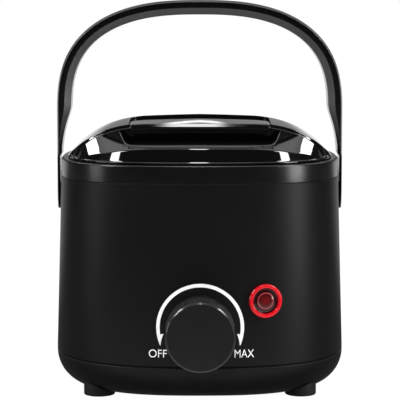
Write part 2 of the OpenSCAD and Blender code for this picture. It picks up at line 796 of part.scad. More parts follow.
module lamp_lens() color("#c01018") on_axis() at_lamp() translate([0, lamp_sink, 0]) rotate([90, 0, 0])
    difference() {
        rotate_extrude()
            polygon([
                [0, -lamp_stub], [lamp_barrel_r, -lamp_stub], [lamp_barrel_r, 0], [lamp_r, 0],
                [lamp_r, lamp_flange_t], [lamp_r * 0.9, lamp_lip_h * 0.93], [lamp_r * 0.79, lamp_lip_h],
                [lamp_r * 0.72, lamp_lip_h * 0.79], [lamp_r * 0.66, lamp_moat_h],
                [lamp_r * 0.56, lamp_moat_h], [lamp_r * 0.52, lamp_dome_h * 0.68],
                [lamp_r * 0.3, lamp_dome_h * 0.91], [0, lamp_dome_h]
            ]);
        translate([0, 0, -lamp_stub - cut]) cylinder(r = lamp_bore_r, h = cut + lamp_stub / 4);
    }

module lamp_bulb() color("#f2b8a0") on_axis() at_lamp() rotate([90, 0, 0])
    translate([0, 0, -lamp_barrel_len])
        cylinder(r = lamp_bore_r - rest_gap, h = lamp_barrel_len - lamp_bulb_gap);

module lamp_nut() color("#2a2a2b") on_axis() at_lamp() difference() {
    union() {
        translate([0, lamp_pad + lamp_nut_t, 0]) rotate([90, 0, 0])
            cylinder(r = lamp_nut_r, h = lamp_nut_t, $fn = 6);
        forward(lamp_barrel_r, lamp_barrel_len, lamp_sink + lamp_stub + fit_gap);
    }
    forward(lamp_bore_r, lamp_barrel_len + cut, lamp_sink + lamp_stub - cut);
}

module thermal_fuse() color("#d9d9d4") on_axis()
    translate([fuse_x, fuse_y, fuse_z]) forward(fuse_r, fuse_len / 2, -fuse_len / 2);

// Saddle that holds a round body of radius r up against the well's underside
module saddle(r, width) difference() {
    translate([-width / 2, -r - fit_gap - strap_plate, -r - fit_gap - strap_plate])
        cube([width, 2 * (r + fit_gap + strap_plate), 2 * r + fit_gap + strap_plate + seat_gap]);
    rotate([0, 90, 0]) translate([0, 0, -width]) cylinder(r = r + fit_gap, h = 2 * width);
    translate([-width, -r - fit_gap, 0]) cube([2 * width, 2 * (r + fit_gap), 2 * r]);
}

module fuse_clip() color("#a6a9ad") on_axis()
    translate([fuse_x, fuse_y, fuse_z]) rotate([0, 0, 90]) saddle(fuse_r, fuse_clip_w);

module sensor_bulb() color("#b87b4b") on_axis()
    translate([-bulb_len / 2, bulb_y, bulb_z]) rotate([0, 90, 0]) cylinder(r = bulb_r, h = bulb_len);

module capillary_tube() color("#b87b4b") on_axis() lead([
    [-bulb_len / 2, bulb_y, bulb_z], [-bulb_len / 2 - 6, bulb_y, bulb_z],
    [capillary_x + 1, bulb_y, bulb_z - 3], [capillary_x, bulb_y, shield_top - 3],
    [capillary_x, bulb_y - 3, knob_h + 10], [capillary_x + 4, bulb_y - 10, knob_h + 2],
    [-thermo_w / 2 + 6, thermo_back + 14, knob_h], [-thermo_w / 2 + 6, thermo_back, knob_h]
], capillary_r);

module bulb_clip() color("#a6a9ad") on_axis() for (side = [-1, 1])
    translate([side * bulb_len / 4, bulb_y, bulb_z]) saddle(bulb_r, bulb_clip_w);

module terminal_block() color("#e9e6dc") on_axis() difference() {
    translate([-block_w / 2, block_y, pan_floor]) cube([block_w, block_d, block_h]);
    translate([0, block_y + block_d / 2, pan_floor - cut])
        cylinder(r = screw_r + fit_gap, h = block_h + 2 * cut);
    translate([0, block_y + block_d / 2, pan_floor + block_h - head_h - 1])
        cylinder(r = head_r + fit_gap, h = block_h);
    for (side = [-1, 1])
        translate([side * way_x, block_y + block_d / 2, pan_floor + block_h - way_depth])
            cylinder(r = way_r, h = way_depth + cut);
}

module terminal_screws() color("silver") on_axis() for (side = [-1, 1])
    translate([side * way_x, block_y + block_d / 2, pan_floor + block_h - way_depth]) difference() {
        cylinder(r = way_r - fit_gap, h = way_screw_h);
        translate([-way_r, -slot_w / 2, way_screw_h - slot_depth]) cube([2 * way_r, slot_w, cut]);
    }

module block_screw() color("silver") on_axis()
    translate([0, block_y + block_d / 2, pan_floor + block_h - head_h - 1]) rotate([180, 0, 0])
        screw_up(screw_r, head_r, block_h - head_h - 1 + block_hole_depth - rest_gap);

module cord_gland() color("#151516") on_axis() at_gland() translate([0, gland_sink, 0]) rotate([90, 0, 0])
    difference() {
        rotate_extrude()
            polygon([
                [0, -gland_in + gland_sink], [gland_barrel_r, -gland_in + gland_sink], [gland_barrel_r, 0],
                [gland_flange_r, 0], [gland_flange_r, gland_flange_t],
                [gland_flange_r - gland_edge, gland_flange_t + gland_edge],
                [gland_barrel_r + gland_taper, gland_flange_t + gland_edge],
                [gland_barrel_r - gland_taper, gland_out + gland_sink],
                [0, gland_out + gland_sink]
            ]);
        translate([0, 0, -gland_in]) cylinder(r = gland_bore_r, h = gland_in + gland_out + 2 * cut);
    }

module gland_nut() color("#2a2a2b") on_axis() at_gland() difference() {
    translate([0, gland_pad + gland_nut_t, 0]) rotate([90, 0, 0])
        cylinder(r = gland_nut_r, h = gland_nut_t, $fn = 6);
    forward(gland_barrel_r + fit_gap / 2, gland_pad + gland_nut_t + cut, gland_pad - cut);
}

// Height along the handle where an arm may reach full thickness without meeting the folded body
function arm_clear(z) =
    plan_reach(body_half(rim_h), sqrt(max(0, pow(z - pivot_h, 2) - pivot_drop * pivot_drop))) + arm_gap;
function strap_depth(z) =
    z <= rim_h ? arm_t : min(strap_full, max(arm_t, handle_half - max(arm_clear(z), 0)));

// Stations along half of the strap: [x, z, inward x, inward z, depth, half width]
function arm_station(z) = [
    handle_half, z, -1, 0, strap_depth(z),
    z < pivot_h ? sqrt(max(1, strap_r * strap_r - pow(pivot_h - z, 2))) : strap_r
];
function arch_station(t) =
    let (
        x = handle_half * pow(cos(t), 2 / arch_power),
        z = arch_foot + arch_h * pow(sin(t), 2 / arch_power),
        nx = pow(x / handle_half, arch_power - 1) / handle_half,
        nz = pow((z - arch_foot) / arch_h, arch_power - 1) / arch_h,
        n = norm([nx, nz])
    )
    [x, z, -nx / n, -nz / n, strap_depth(z), strap_r];
half_strap = [
    for (k = [0.5, 2, 4, 6, 8, 10]) arm_station(pivot_h - strap_r + k * strap_r / 10),
    for (k = [0:1:7]) arm_station(rim_h + (arch_foot - rim_h) * k / 7),
    for (k = [1:20]) arch_station(90 * pow(k / 20, 1.25))
];
function mirror_station(s) = [-s[0], s[1], -s[2], s[3], s[4], s[5]];
strap_stations = concat(
    half_strap, [for (i = [len(half_strap) - 2:-1:0]) mirror_station(half_strap[i])]
);
// Section of the strap: edges rounded outside, crowned inside
function strap_section(s) =
    let (
        depth = s[4],
        edge = min(strap_t, depth - 0.3),
        w = s[5],
        crown = max(w - strap_bevel, w / 2),
        r = min(edge_round, w / 2)
    )
    [
        for (p = [
            [0, -w + r], [0, w - r], [r, w], [edge, w], [depth, crown], [depth, -crown], [edge, -w], [r, -w]
        ]) [s[0] + s[2] * p[0], p[1], s[1] + s[3] * p[0]]
    ];

module carry_handle() color("#0f0f10") on_axis() difference() {
    union() {
        skin([for (s = strap_stations) strap_section(s)]);
        for (side = [-1, 1])
            translate([side * pin_end, 0, pivot_h]) rotate([0, side * 90, 0])
                cylinder(r = pin_r, h = handle_half - arm_t / 2 - pin_end);
    }
    for (side = [-1, 1])
        translate([side * (pin_end - cut), 0, pivot_h]) rotate([0, side * 90, 0])
            cylinder(r = screw_r + fit_gap / 2, h = cut + pivot_screw_len);
}

module pivot_washers() color("silver") on_axis() for (side = [-1, 1])
    translate([side * (washer_out - washer_t), 0, pivot_h]) rotate([0, side * 90, 0]) difference() {
        cylinder(r = washer_r, h = washer_t);
        translate([0, 0, -cut]) cylinder(r = screw_r + fit_gap, h = washer_t + 2 * cut);
    }

module pivot_screws() color("silver") on_axis() for (side = [-1, 1])
    translate([side * (washer_out - washer_t), 0, pivot_h]) rotate([0, side * 90, 0])
        screw_up(screw_r, head_r, washer_t + pivot_screw_len - 0.5);

// Curve of the lid's side, from its base edge to its flat top: [half width, height]
function lid_curve(t, inset) =
    let (
        half = lid_half - inset,
        top = lid_rise - inset,
        a = [half, 0], b = [half * lid_shoulder, top], c = [half * lid_flat, top]
    )
    (1 - t) * (1 - t) * a + 2 * t * (1 - t) * b + t * t * c;

// Arched over front and middle, domed towards the back
module lid_arch(inset) skin([
    for (k = [0:arch_steps])
        let (p = lid_curve(k / arch_steps, inset), drop = front_drop * p[1] / lid_rise)
        [
            for (i = [0:ring_steps / 2]) ring(p[0], p[0], p[0], lid_base + p[1])[i],
            [-p[0], -lid_half - cut, lid_base + p[1] - drop],
            [p[0], -lid_half - cut, lid_base + p[1] - drop]
        ]
]);

// Two facets across the front, inside the square plan
module lid_facets(inset) {
    half = lid_half - inset;
    skin([
        ring(half, half, half, lid_base),
        ring(half, half - lid_facet_in, half, lid_base + lid_facet_h - inset / 2),
        ring(half, half - lid_slope_in, half, lid_top),
        ring(half, half - lid_slope_in - 1, half, lid_top + cut)
    ]);
}

module lid_form(inset) intersection() {
    lid_arch(inset);
    lid_facets(inset);
}

// Front outline of the grip pocket, drawn out by a wall thickness
function pocket_half(z) =
    pocket_w / 2 + pocket_flare / 2 * (z - pocket_floor_h) / (tongue_top - pocket_floor_h);
module pocket_outline(grow, top) polygon([
    [-pocket_half(pocket_floor_h) - grow, pocket_floor_h - grow],
    [pocket_half(pocket_floor_h) + grow, pocket_floor_h - grow],
    [pocket_half(top) + grow, top], [-pocket_half(top) - grow, top]
]);

// Straight run of the pocket outline between two distances in front of the axis
module pocket_run(front, back, grow, top)
    translate([0, -back, lid_base]) rotate([90, 0, 0])
        linear_extrude(height = front - back) pocket_outline(grow, top);

// Pocket with a given height under the tongue, drawn out by a wall thickness
module lid_pocket(grow, ceiling) {
    pocket_run(lid_half + cut, tongue_front - grow, grow, lid_rise + cut);
    pocket_run(tongue_front + cut, pocket_back - grow, grow, ceiling);
}

// Shallow recess in the lid's top, with the tongue as its floor
module tongue_recess() translate([0, 0, lid_base + tongue_top]) linear_extrude(height = 2 * lid_rise) {
    translate([-tongue_w / 2, -lid_half]) square([tongue_w, lid_half - tongue_corner_r]);
    translate([-tongue_w / 2 + tongue_corner_r, -lid_half])
        square([tongue_w - 2 * tongue_corner_r, lid_half]);
    for (side = [-1, 1])
        translate([side * (tongue_w / 2 - tongue_corner_r), -tongue_corner_r]) circle(r = tongue_corner_r);
}

module lid() color("#0a0a0b") on_axis() difference() {
    union() {
        difference() {
            lid_form(0);
            difference() {
                intersection() {
                    lid_form(lid_wall);
                    translate([-lid_half, -lid_half, lid_base + lid_plate])
                        cube([2 * lid_half, 2 * lid_half, lid_rise]);
                }
                lid_pocket(lid_wall, lid_rise);
                translate([0, 0, -lid_wall]) tongue_recess();
            }
        }
        translate([0, 0, lid_base - lid_lip_h]) cylinder(r = lid_lip_r, h = lid_lip_h + lid_plate);
    }
    translate([0, 0, lid_base - lid_lip_h - cut])
        cylinder(r = lid_lip_r - lid_lip_t, h = lid_lip_h + lid_plate + cut + rest_gap);
    lid_pocket(0, tongue_top - tongue_t);
    tongue_recess();
}

module live_lead() color("#7a3b22") on_axis() lead([
    [-way_x, block_y, way_z], [-way_x, block_y - lead_straight, way_z],
    [-way_x - lead_sway, block_y - 4 * lead_sway, way_z + lead_r],
    [-way_x - lead_sway / 2, thermo_back + tab_reach + 4 * lead_sway, tab_low - lead_sway],
    [-tab_side, thermo_back + tab_reach + lead_straight, tab_low],
    [-tab_side, thermo_back + tab_reach, tab_low]
], lead_r);

module neutral_lead() color("#35558c") on_axis() lead([
    [way_x, block_y + block_d, way_z], [way_x, block_y + block_d + 5, way_z],
    [tab_x + 3, tab_y - 2, way_z + 14], [tab_x + 2, tab_y + 1, shield_top - 12],
    [tab_x, tab_y + tab_t / 2, shield_top + 4], [tab_x, tab_y + tab_t / 2, band_bottom - tab_h]
], lead_r);

module fuse_leads() color("#d8d4c6") on_axis() {
    lead([
        for (drop = [0, 3]) [-tab_x, tab_y + tab_t / 2, band_bottom - tab_h - drop],
        [-tab_x, tab_y - 3, fuse_z], [fuse_x, fuse_y + fuse_len / 2 + 8, fuse_z],
        [fuse_x, fuse_y + fuse_len / 2, fuse_z]
    ], lead_r);
    lead([
        [fuse_x, fuse_y - fuse_len / 2, fuse_z], [fuse_x, fuse_y - fuse_len / 2 - 6, fuse_z],
        [fuse_x, 2, shield_top + 2.6], [fuse_x, fuse_hole_y + 3, shield_top + 1.6],
        [fuse_x, fuse_hole_y, shield_top - 4], [fuse_x, fuse_hole_y - 1, tab_high + 5],
        [-tab_side, thermo_back + tab_reach + 6, tab_high], [-tab_side, thermo_back + tab_reach, tab_high]
    ], lead_r);
}

// The lamp's leads leave the back of the bulb
module lamp_leads() color("#4a4a4c") on_axis() {
    up = [0, 0, 2 * lamp_lead_r];
    lead([
        for (reach = [0, 6, 17]) lamp_back + up + reach * lamp_in,
        [tab_x + 2, thermo_back + 12, tab_high + 3], [4, thermo_back + 10, tab_high + 1],
        [-1, thermo_back + tab_reach - 2, tab_high],
        [-tab_side + tab_w / 2, thermo_back + tab_reach - 2, tab_high]
    ], lamp_lead_r);
    lead([
        for (reach = [0, 6, 17]) lamp_back - up + reach * lamp_in,
        [24, -24, knob_h + 2], [23, -6, knob_h - 10], [20, 12, pan_floor + 13],
        [way_x + 5, block_y - 10, way_z + 1], [way_x + 3, block_y - 5, way_z], [way_x + 3, block_y, way_z]
    ], lamp_lead_r);
}

housing();
top_collar();
base_pan();
rubber_feet();
base_screws();
collar_screws();
heater_well();
well_screws();
wax_pot();
heater_band();
band_bolt();
band_nut();
insulation_wrap();
heat_shield();
shield_spacers();
shield_screws();
thermostat_body();
thermostat_nut();
thermostat_shaft();
sensor_bulb();
capillary_tube();
bulb_clip();
knob();
knob_clip();
lamp_lens();
lamp_bulb();
lamp_nut();
thermal_fuse();
fuse_clip();
terminal_block();
terminal_screws();
block_screw();
cord_gland();
gland_nut();
carry_handle();
pivot_washers();
pivot_screws();
lid();
live_lead();
neutral_lead();
fuse_leads();
lamp_leads();
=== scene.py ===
# %% [markdown]
# # A wax warmer, dressed for the camera
#
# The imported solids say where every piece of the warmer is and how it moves. This lesson gives
# them their looks: smooth moulded shells in place of the faceted ones, a polished lid, a strap
# handle, a knurled knob with its printed dial, a red pilot lamp, and a finish for every piece.
# Each step starts with what the real piece is, how it could be made, and why it is made this way.

# %% Load the frame
import json
import math

import bmesh
import bpy
from mathutils import Matrix, Vector


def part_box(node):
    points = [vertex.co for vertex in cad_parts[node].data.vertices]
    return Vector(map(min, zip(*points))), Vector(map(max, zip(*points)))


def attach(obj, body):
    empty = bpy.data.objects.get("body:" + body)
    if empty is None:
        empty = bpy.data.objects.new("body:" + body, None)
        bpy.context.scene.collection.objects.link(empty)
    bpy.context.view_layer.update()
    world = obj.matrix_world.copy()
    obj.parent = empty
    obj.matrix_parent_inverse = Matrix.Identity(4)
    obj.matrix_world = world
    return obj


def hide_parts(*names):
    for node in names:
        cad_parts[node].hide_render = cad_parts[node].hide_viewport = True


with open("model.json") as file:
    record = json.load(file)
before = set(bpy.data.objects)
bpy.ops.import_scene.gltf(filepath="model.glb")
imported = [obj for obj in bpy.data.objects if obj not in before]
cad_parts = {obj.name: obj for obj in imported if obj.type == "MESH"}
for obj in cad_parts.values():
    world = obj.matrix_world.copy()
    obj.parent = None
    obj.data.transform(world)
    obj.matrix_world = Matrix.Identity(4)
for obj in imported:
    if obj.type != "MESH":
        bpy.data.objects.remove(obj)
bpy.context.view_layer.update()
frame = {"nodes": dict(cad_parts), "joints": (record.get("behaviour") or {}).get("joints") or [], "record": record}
MM = 0.001

# %% [markdown]
# Sizes could be typed in again, but then the dressed pieces would drift from the solids when these
# change, so most are read from the solids' own boxes. The body tapers evenly from the base seam to
# the rim: two widths and two heights are enough to know it anywhere. Seen from above it is a
# rounded square, which is a circle's equation with a power of more than 2.

# %% Sizes read from the frame
pan_lo, pan_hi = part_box("base_pan")
housing_lo, housing_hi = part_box("housing")
collar_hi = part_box("top_collar")[1]

AXIS_Y = (pan_lo.y + pan_hi.y) / 2
BASE_SEAM = housing_lo.z
COLLAR_SEAM = housing_hi.z
RIM = collar_hi.z
BASE_HALF = pan_hi.x
SEAM_GROOVE = 0.6 * MM
TAPER = (BASE_HALF - collar_hi.x) / (COLLAR_SEAM + SEAM_GROOVE / 2 - BASE_SEAM)
PLAN_POWER = 2.7


def body_half(z):
    """Half width of the body at a height."""
    return BASE_HALF - (z - BASE_SEAM) * TAPER


def plan_reach(half, side):
    """How far the rounded-square plan reaches forwards at a sideways offset."""
    return half * (1 - min(abs(side) / half, 1) ** PLAN_POWER) ** (1 / PLAN_POWER)


widths = f"{BASE_HALF / MM:.1f} to {body_half(RIM) / MM:.1f} mm"
print(f"axis at y {AXIS_Y / MM:.2f} mm, body half widths {widths}")

# %% [markdown]
# The camera comes first, because everything else is judged through it. The photograph looks at
# the middle of the front, from a little above and a hair from the left, through a long lens that
# keeps the sides upright. A camera can be aimed by a constraint, but a fit to a photograph gives a
# distance, a height and two turns, so these are the values that are named and set here.

# %% Camera
CAMERA_DISTANCE = 0.954
CAMERA_HEIGHT = 0.1944
CAMERA_PITCH = math.radians(6)
CAMERA_ASIDE = 0.17 * MM
CAMERA_TURN = math.radians(0.2)
LENS = 163.5
SENSOR = 36


def show(name, data):
    """Put a new object in the scene."""
    made = bpy.data.objects.new(name, data)
    bpy.context.scene.collection.objects.link(made)
    return made


camera = show("camera", bpy.data.cameras.new("camera"))
camera.data.lens = LENS
camera.data.sensor_width = SENSOR
camera.location = (
    CAMERA_ASIDE - CAMERA_DISTANCE * math.sin(CAMERA_TURN),
    AXIS_Y - CAMERA_DISTANCE * math.cos(CAMERA_TURN), CAMERA_HEIGHT)
camera.rotation_euler = (math.pi / 2 - CAMERA_PITCH, 0, -CAMERA_TURN)
bpy.context.scene.camera = camera
bpy.context.scene.view_settings.view_transform = "Standard"
print("camera at", [round(c, 4) for c in camera.location])

# %% [markdown]
# A finish is a graph of nodes. Drawn by hand it is quick to try out, but written node by node it is
# long and hard to read. So a Wire stands for one output of the graph and takes part in Python's own
# sums, products and powers, each of which adds a Math node, and a Graph adds any other node in one
# call.


# %% Wires and graphs
def maths(operation, swapped=False):
    """A Python operator that adds a Math node."""
    def apply(self, other):
        first, second = (other, self) if swapped else (self, other)
        return self.graph.node("Math", {"operation": operation}, {0: first, 1: second})
    return apply


class Wire:
    """An output socket that can be written into sums, products and powers."""

    def __init__(self, graph, socket):
        self.graph = graph
        self.socket = socket

    __add__ = maths("ADD")
    __radd__ = maths("ADD", swapped=True)
    __sub__ = maths("SUBTRACT")
    __rsub__ = maths("SUBTRACT", swapped=True)
    __mul__ = maths("MULTIPLY")
    __rmul__ = maths("MULTIPLY", swapped=True)
    __truediv__ = maths("DIVIDE")
    __rtruediv__ = maths("DIVIDE", swapped=True)
    __pow__ = maths("POWER")
    __rpow__ = maths("POWER", swapped=True)

    def __abs__(self):
        return self.graph.node("Math", {"operation": "ABSOLUTE"}, {0: self})


class Graph:
    """A node tree in the making."""

    def __init__(self, tree):
        self.tree = tree

    def plug(self, socket, value):
        if isinstance(value, Wire):
            self.tree.links.new(value.socket, socket)
        else:
            socket.default_value = value

    def node(self, kind, settings=None, sockets=None, output=0):
        made = self.tree.nodes.new("ShaderNode" + kind)
        for name, value in (settings or {}).items():
            if name == "stops":
                self.set_stops(made.color_ramp.elements, value)
            else:
                setattr(made, name, value)
        for name, value in (sockets or {}).items():
            self.plug(made.inputs[name], value)
        return Wire(self, made.outputs[output])

    def set_stops(self, elements, stops):
        while len(elements) < len(stops):
            elements.new(1.0)
        for element, (position, colour) in zip(elements, stops):
            element.position = position
            element.color = colour

    def outputs(self, wire, *names):
        """Further outputs of the node that a wire comes from."""
        return [Wire(self, wire.socket.node.outputs[name]) for name in names]

    def between(self, value, low, high):
        """0 below a low value, 1 above a high one, with a soft rise between them."""
        settings = {"interpolation_type": "SMOOTHSTEP"}
        return self.node("MapRange", settings, {"Value": value, "From Min": low, "From Max": high})

    def band(self, value, rise, fall):
        """1 after a rise and before a fall, each given by its low and its high value."""
        return self.between(value, *rise) * (1 - self.between(value, *fall))


print("wires and graphs ready")

# %% [markdown]
# Every finish here is one Principled shader with noise in its colour, its roughness and its
# normals, because no real surface is even. Image files could carry such marks too, but noise on
# object coordinates needs no unwrapping, has no seams and stays sharp up close. A Finish holds the
# shader and the nodes that all finishes use, and it is kept under its name.

# %% Finishes
FINISHES = {}


class Finish(Graph):
    """A material in the making."""

    def __init__(self, name, sockets):
        FINISHES[name] = bpy.data.materials.new(name)
        FINISHES[name].use_nodes = True
        super().__init__(FINISHES[name].node_tree)
        self.shader = self.tree.nodes["Principled BSDF"]
        self.set(sockets)
        self.place = self.node("TexCoord", output="Object")

    def set(self, sockets):
        for name, value in sockets.items():
            self.plug(self.shader.inputs[name], value)

    def noise(self, scale, detail=3.0, place=None):
        sockets = {"Vector": place or self.place, "Scale": scale, "Detail": detail}
        return self.node("TexNoise", None, sockets)

    def mix(self, share, first, second):
        return self.node("Mix", {"data_type": "RGBA"}, {0: share, 6: first, 7: second}, 2)

    def bump(self, height, distance):
        sockets = {"Height": height, "Distance": distance, "Strength": 1.0}
        self.set({"Normal": self.node("Bump", None, sockets)})

    def facing(self):
        """How squarely the surface faces along Y, either way, from 0 to 1."""
        return abs(self.node("SeparateXYZ", None, {0: self.node("TexCoord", output="Normal")}, "Y"))


def tint(colour, share):
    """A colour made lighter or darker by a share."""
    return tuple(c * share for c in colour[:3]) + (1,)


print("finish kit ready")

# %% [markdown]
# The housing, its base, the knob and the gland are moulded in black plastic with a fine eroded
# grain, the kind that a mould gets by sparks. One function makes every such plastic: cloudy
# colour, uneven sheen and a grain in the normals, each at its own scale. The knob's chamfer is
# polished, and its knurled side is darkened in colour, which is painted shade. A second material on
# some faces could do both, but a clear coat and a darkening that follow how the surface leans keep to the
# rounding, without a hard line.

# %% Moulded plastics
CLOUD = 70
FINE_GRAIN = 2.7
KNOB_CHAMFER = ((0.4, 0.55), (0.85, 0.95))
KNOB_SHADED_SIDE = (0.1, 0.5)
KNOB_SIDE_SHADE = 0.3
CHAMFER_COAT = 0.6


def moulded(name, colour, roughness, grain_size, grain_depth, specular=0.5, chamfer=False):
    """Moulded plastic with a grain of the given size and depth, and if wanted a polished chamfer and a knurled
    side darkened by painted shade.
    """
    finish = Finish(name, {"Specular IOR Level": specular, "Coat Weight": 0, "Coat Roughness": 0.12})
    cloud = finish.noise(CLOUD, 4)
    grain = finish.noise(1 / grain_size, 2)
    fine = finish.noise(FINE_GRAIN / grain_size, 2)
    base = finish.mix(cloud, tint(colour, 0.82), tint(colour, 1.18))
    if chamfer:
        facing = finish.facing()
        # Painted shade: the knurled side's colour is darkened to a share of the black.
        base = finish.mix(finish.between(facing, *KNOB_SHADED_SIDE), tint(colour, KNOB_SIDE_SHADE), base)
        finish.set({"Coat Weight": finish.band(facing, *KNOB_CHAMFER) * CHAMFER_COAT})
    finish.set({
        "Base Color": base,
        "Roughness": roughness + (cloud - 0.5) * (0.10 * roughness) + (grain - 0.5) * (0.16 * roughness),
    })
    finish.bump(grain * 0.7 + fine * 0.3, grain_depth)


moulded("body_black", (0.004, 0.004, 0.0042), 0.40, 0.45 * MM, 0.02 * MM, specular=0.18)
moulded("collar_black", (0.0025, 0.0025, 0.0027), 0.26, 0.7 * MM, 0.0015 * MM)
moulded("knob_black", (0.007, 0.007, 0.007), 0.42, 0.5 * MM, 0.02 * MM, specular=0.18, chamfer=True)
moulded("inner_black", (0.012, 0.012, 0.0125), 0.4, 0.6 * MM, 0.02 * MM)
moulded("foot_rubber", (0.008, 0.008, 0.008), 0.6, 0.35 * MM, 0.03 * MM, specular=0.35)
moulded("moulded_cream", (0.62, 0.58, 0.48), 0.5, 0.5 * MM, 0.02 * MM)
print("moulded plastics:", len(FINISHES))

# %% [markdown]
# The lid and the handle are polished. A plain low roughness would look like glass, and a polished
# moulding is not perfect: shrinkage leaves a very slow waviness, and wiping leaves hair-fine
# scratches, which a noise stretched along one direction gives. The handle's bevels are rougher than
# its faces, with a lighter colour that is a painted reflection, and again the way that the surface leans picks
# them out.

# %% Polished plastics
WIPE_SCALE = (260, 2600, 900)
GLOSS_CLOUD, GLOSS_WAVE = 45, 28
WAVE_DEPTH = 0.004 * MM
SATIN_AND_REFLECTION_BEVEL = ((0.4, 0.6), (0.955, 0.985))
SATIN_ROUGHNESS = 0.42


def polished(name, colour, roughness, painted_bevel_reflection=None):
    """Polished plastic with faint wipe marks, a slow waviness and, if wanted, rougher bevels whose colour is
    lightened by a painted reflection.
    """
    finish = Finish(name, {"Specular IOR Level": 0.5})
    cloud = finish.noise(GLOSS_CLOUD, 3)
    stretched = finish.node("Mapping", None, {"Vector": finish.place, "Scale": WIPE_SCALE})
    wipes = finish.noise(1, 2, stretched)
    base = finish.mix(cloud, tint(colour, 0.85), tint(colour, 1.15))
    rough = roughness + wipes ** 3 * (0.5 * roughness) + (cloud - 0.5) * (0.2 * roughness)
    if painted_bevel_reflection:
        bevel = finish.band(finish.facing(), *SATIN_AND_REFLECTION_BEVEL)
        # Painted reflection: the bevels get a lighter colour than the faces.
        base = finish.mix(bevel, base, painted_bevel_reflection)
        rough = rough + bevel * (SATIN_ROUGHNESS - rough)
    finish.set({"Base Color": base, "Roughness": rough})
    finish.bump(finish.noise(GLOSS_WAVE, 1), WAVE_DEPTH)


GLOSS_BLACK = (0.002, 0.002, 0.0021)
polished("lid_black", GLOSS_BLACK, 0.04)
polished("handle_black", GLOSS_BLACK, 0.11, painted_bevel_reflection=(0.044, 0.044, 0.044, 1))
print("finishes so far:", len(FINISHES))

# %% [markdown]
# Metal pieces are seen when the pot is lifted out, or from underneath. Spun aluminium shows fine
# rings round its axis. Anisotropic shading only hints at them and needs tangents, so a noise of the
# distance from the axis draws the rings themselves. Screws and clips are plated, and a little
# cloudy.

# %% Metals
RING_SCALE = 2600
STEP_SCALE = 2200
METAL_CLOUD = 60
PLATE_CLOUD, PLATE_GRAIN = 260, 1600


def spun_aluminium(name):
    """Aluminium with turning marks round the body's axis."""
    finish = Finish(name, {"Metallic": 1.0})
    centred = finish.node("Mapping", None, {"Vector": finish.place, "Location": (0, -AXIS_Y, 0)})
    x, y, z = finish.outputs(finish.node("SeparateXYZ", None, {0: centred}), "X", "Y", "Z")
    radius = (x * x + y * y) ** 0.5
    along = radius * RING_SCALE + z * STEP_SCALE
    rings = finish.node("TexNoise", {"noise_dimensions": "1D"}, {"W": along, "Detail": 2.0})
    cloud = finish.noise(METAL_CLOUD, 3)
    finish.set({
        "Base Color": finish.mix(cloud, (0.62, 0.63, 0.65, 1), (0.74, 0.745, 0.75, 1)),
        "Roughness": 0.24 + rings * 0.14 + cloud * 0.06,
    })
    finish.bump(rings, 0.012 * MM)


def plated(name, dark, light, roughness):
    """Plated or drawn metal with a cloudy surface."""
    finish = Finish(name, {"Metallic": 1.0})
    cloud = finish.noise(PLATE_CLOUD, 4)
    finish.set({"Base Color": finish.mix(cloud, dark, light), "Roughness": roughness + cloud * 0.12})
    finish.bump(finish.noise(PLATE_GRAIN, 2), 0.008 * MM)


spun_aluminium("aluminium")
plated("steel", (0.47, 0.48, 0.49, 1), (0.62, 0.63, 0.64, 1), 0.26)
plated("copper_alloy", (0.44, 0.18, 0.08, 1), (0.58, 0.27, 0.13, 1), 0.28)
plated("heater_mica", (0.30, 0.23, 0.12, 1), (0.44, 0.35, 0.19, 1), 0.42)
print("finishes so far:", len(FINISHES))

# %% [markdown]
# Inside the housing there are felt, lamp glass and sleeved leads. They show only when someone
# takes the warmer apart, and a plain colour would do for that. Each still has the surface of the
# real thing, because the pieces are used on their own too: fibres drawn along the felt, a warm
# cloud in the glass, a slightly uneven sleeve.

# %% Felt, glass and sleeving
FIBRE_SCALE = (900, 900, 3000)
GLASS_CLOUD = 600
SLEEVE_CLOUD, SLEEVE_GRAIN = 420, 1500


def needled_felt(name):
    """Pale felt with a fibrous nap."""
    finish = Finish(name, {"Sheen Weight": 0.3})
    drawn = finish.node("Mapping", None, {"Vector": finish.place, "Scale": FIBRE_SCALE})
    fibres = finish.noise(1, 5, drawn)
    finish.set({
        "Base Color": finish.mix(fibres, (0.48, 0.44, 0.37, 1), (0.70, 0.66, 0.57, 1)),
        "Roughness": 0.85 + fibres * 0.1,
    })
    finish.bump(fibres, 0.25 * MM)


def envelope_glass(name):
    """Thin glass of the neon lamp, warm with its own faint light."""
    finish = Finish(name, {"Transmission Weight": 0.6, "Emission Strength": 0.3})
    cloud = finish.noise(GLASS_CLOUD, 2)
    finish.set({
        "Base Color": finish.mix(cloud, (0.75, 0.40, 0.30, 1), (0.90, 0.55, 0.42, 1)),
        "Roughness": 0.08 + cloud * 0.08,
        "Emission Color": finish.mix(cloud, (0.8, 0.2, 0.08, 1), (1.0, 0.3, 0.12, 1)),
    })


def sleeved(name, colour):
    """Extruded sleeving, slightly uneven along its length."""
    finish = Finish(name, {})
    cloud = finish.noise(SLEEVE_CLOUD, 3)
    finish.set({
        "Base Color": finish.mix(cloud, tint(colour, 0.8), tint(colour, 1.2)),
        "Roughness": 0.4 + cloud * 0.15,
    })
    finish.bump(finish.noise(SLEEVE_GRAIN, 2), 0.02 * MM)


needled_felt("felt")
envelope_glass("lamp_glass")
sleeved("lead_brown", (0.16, 0.05, 0.02))
sleeved("lead_blue", (0.03, 0.09, 0.26))
sleeved("lead_white", (0.66, 0.64, 0.56))
sleeved("lead_grey", (0.07, 0.07, 0.072))
print("finishes so far:", len(FINISHES))

# %% [markdown]
# The pilot lamp's lens is clear red plastic. Light gathers in its outer ring, catches the edge of
# its dome in a thin pink circle and is lost between them. Real transmission would need a lit bulb
# and many samples to show that, so the colour follows the distance from the lamp's centre, through
# a colour ramp, and glows a little. The lamp sits square on the curved panel, so its place and the
# way it faces are worked out from the plan.

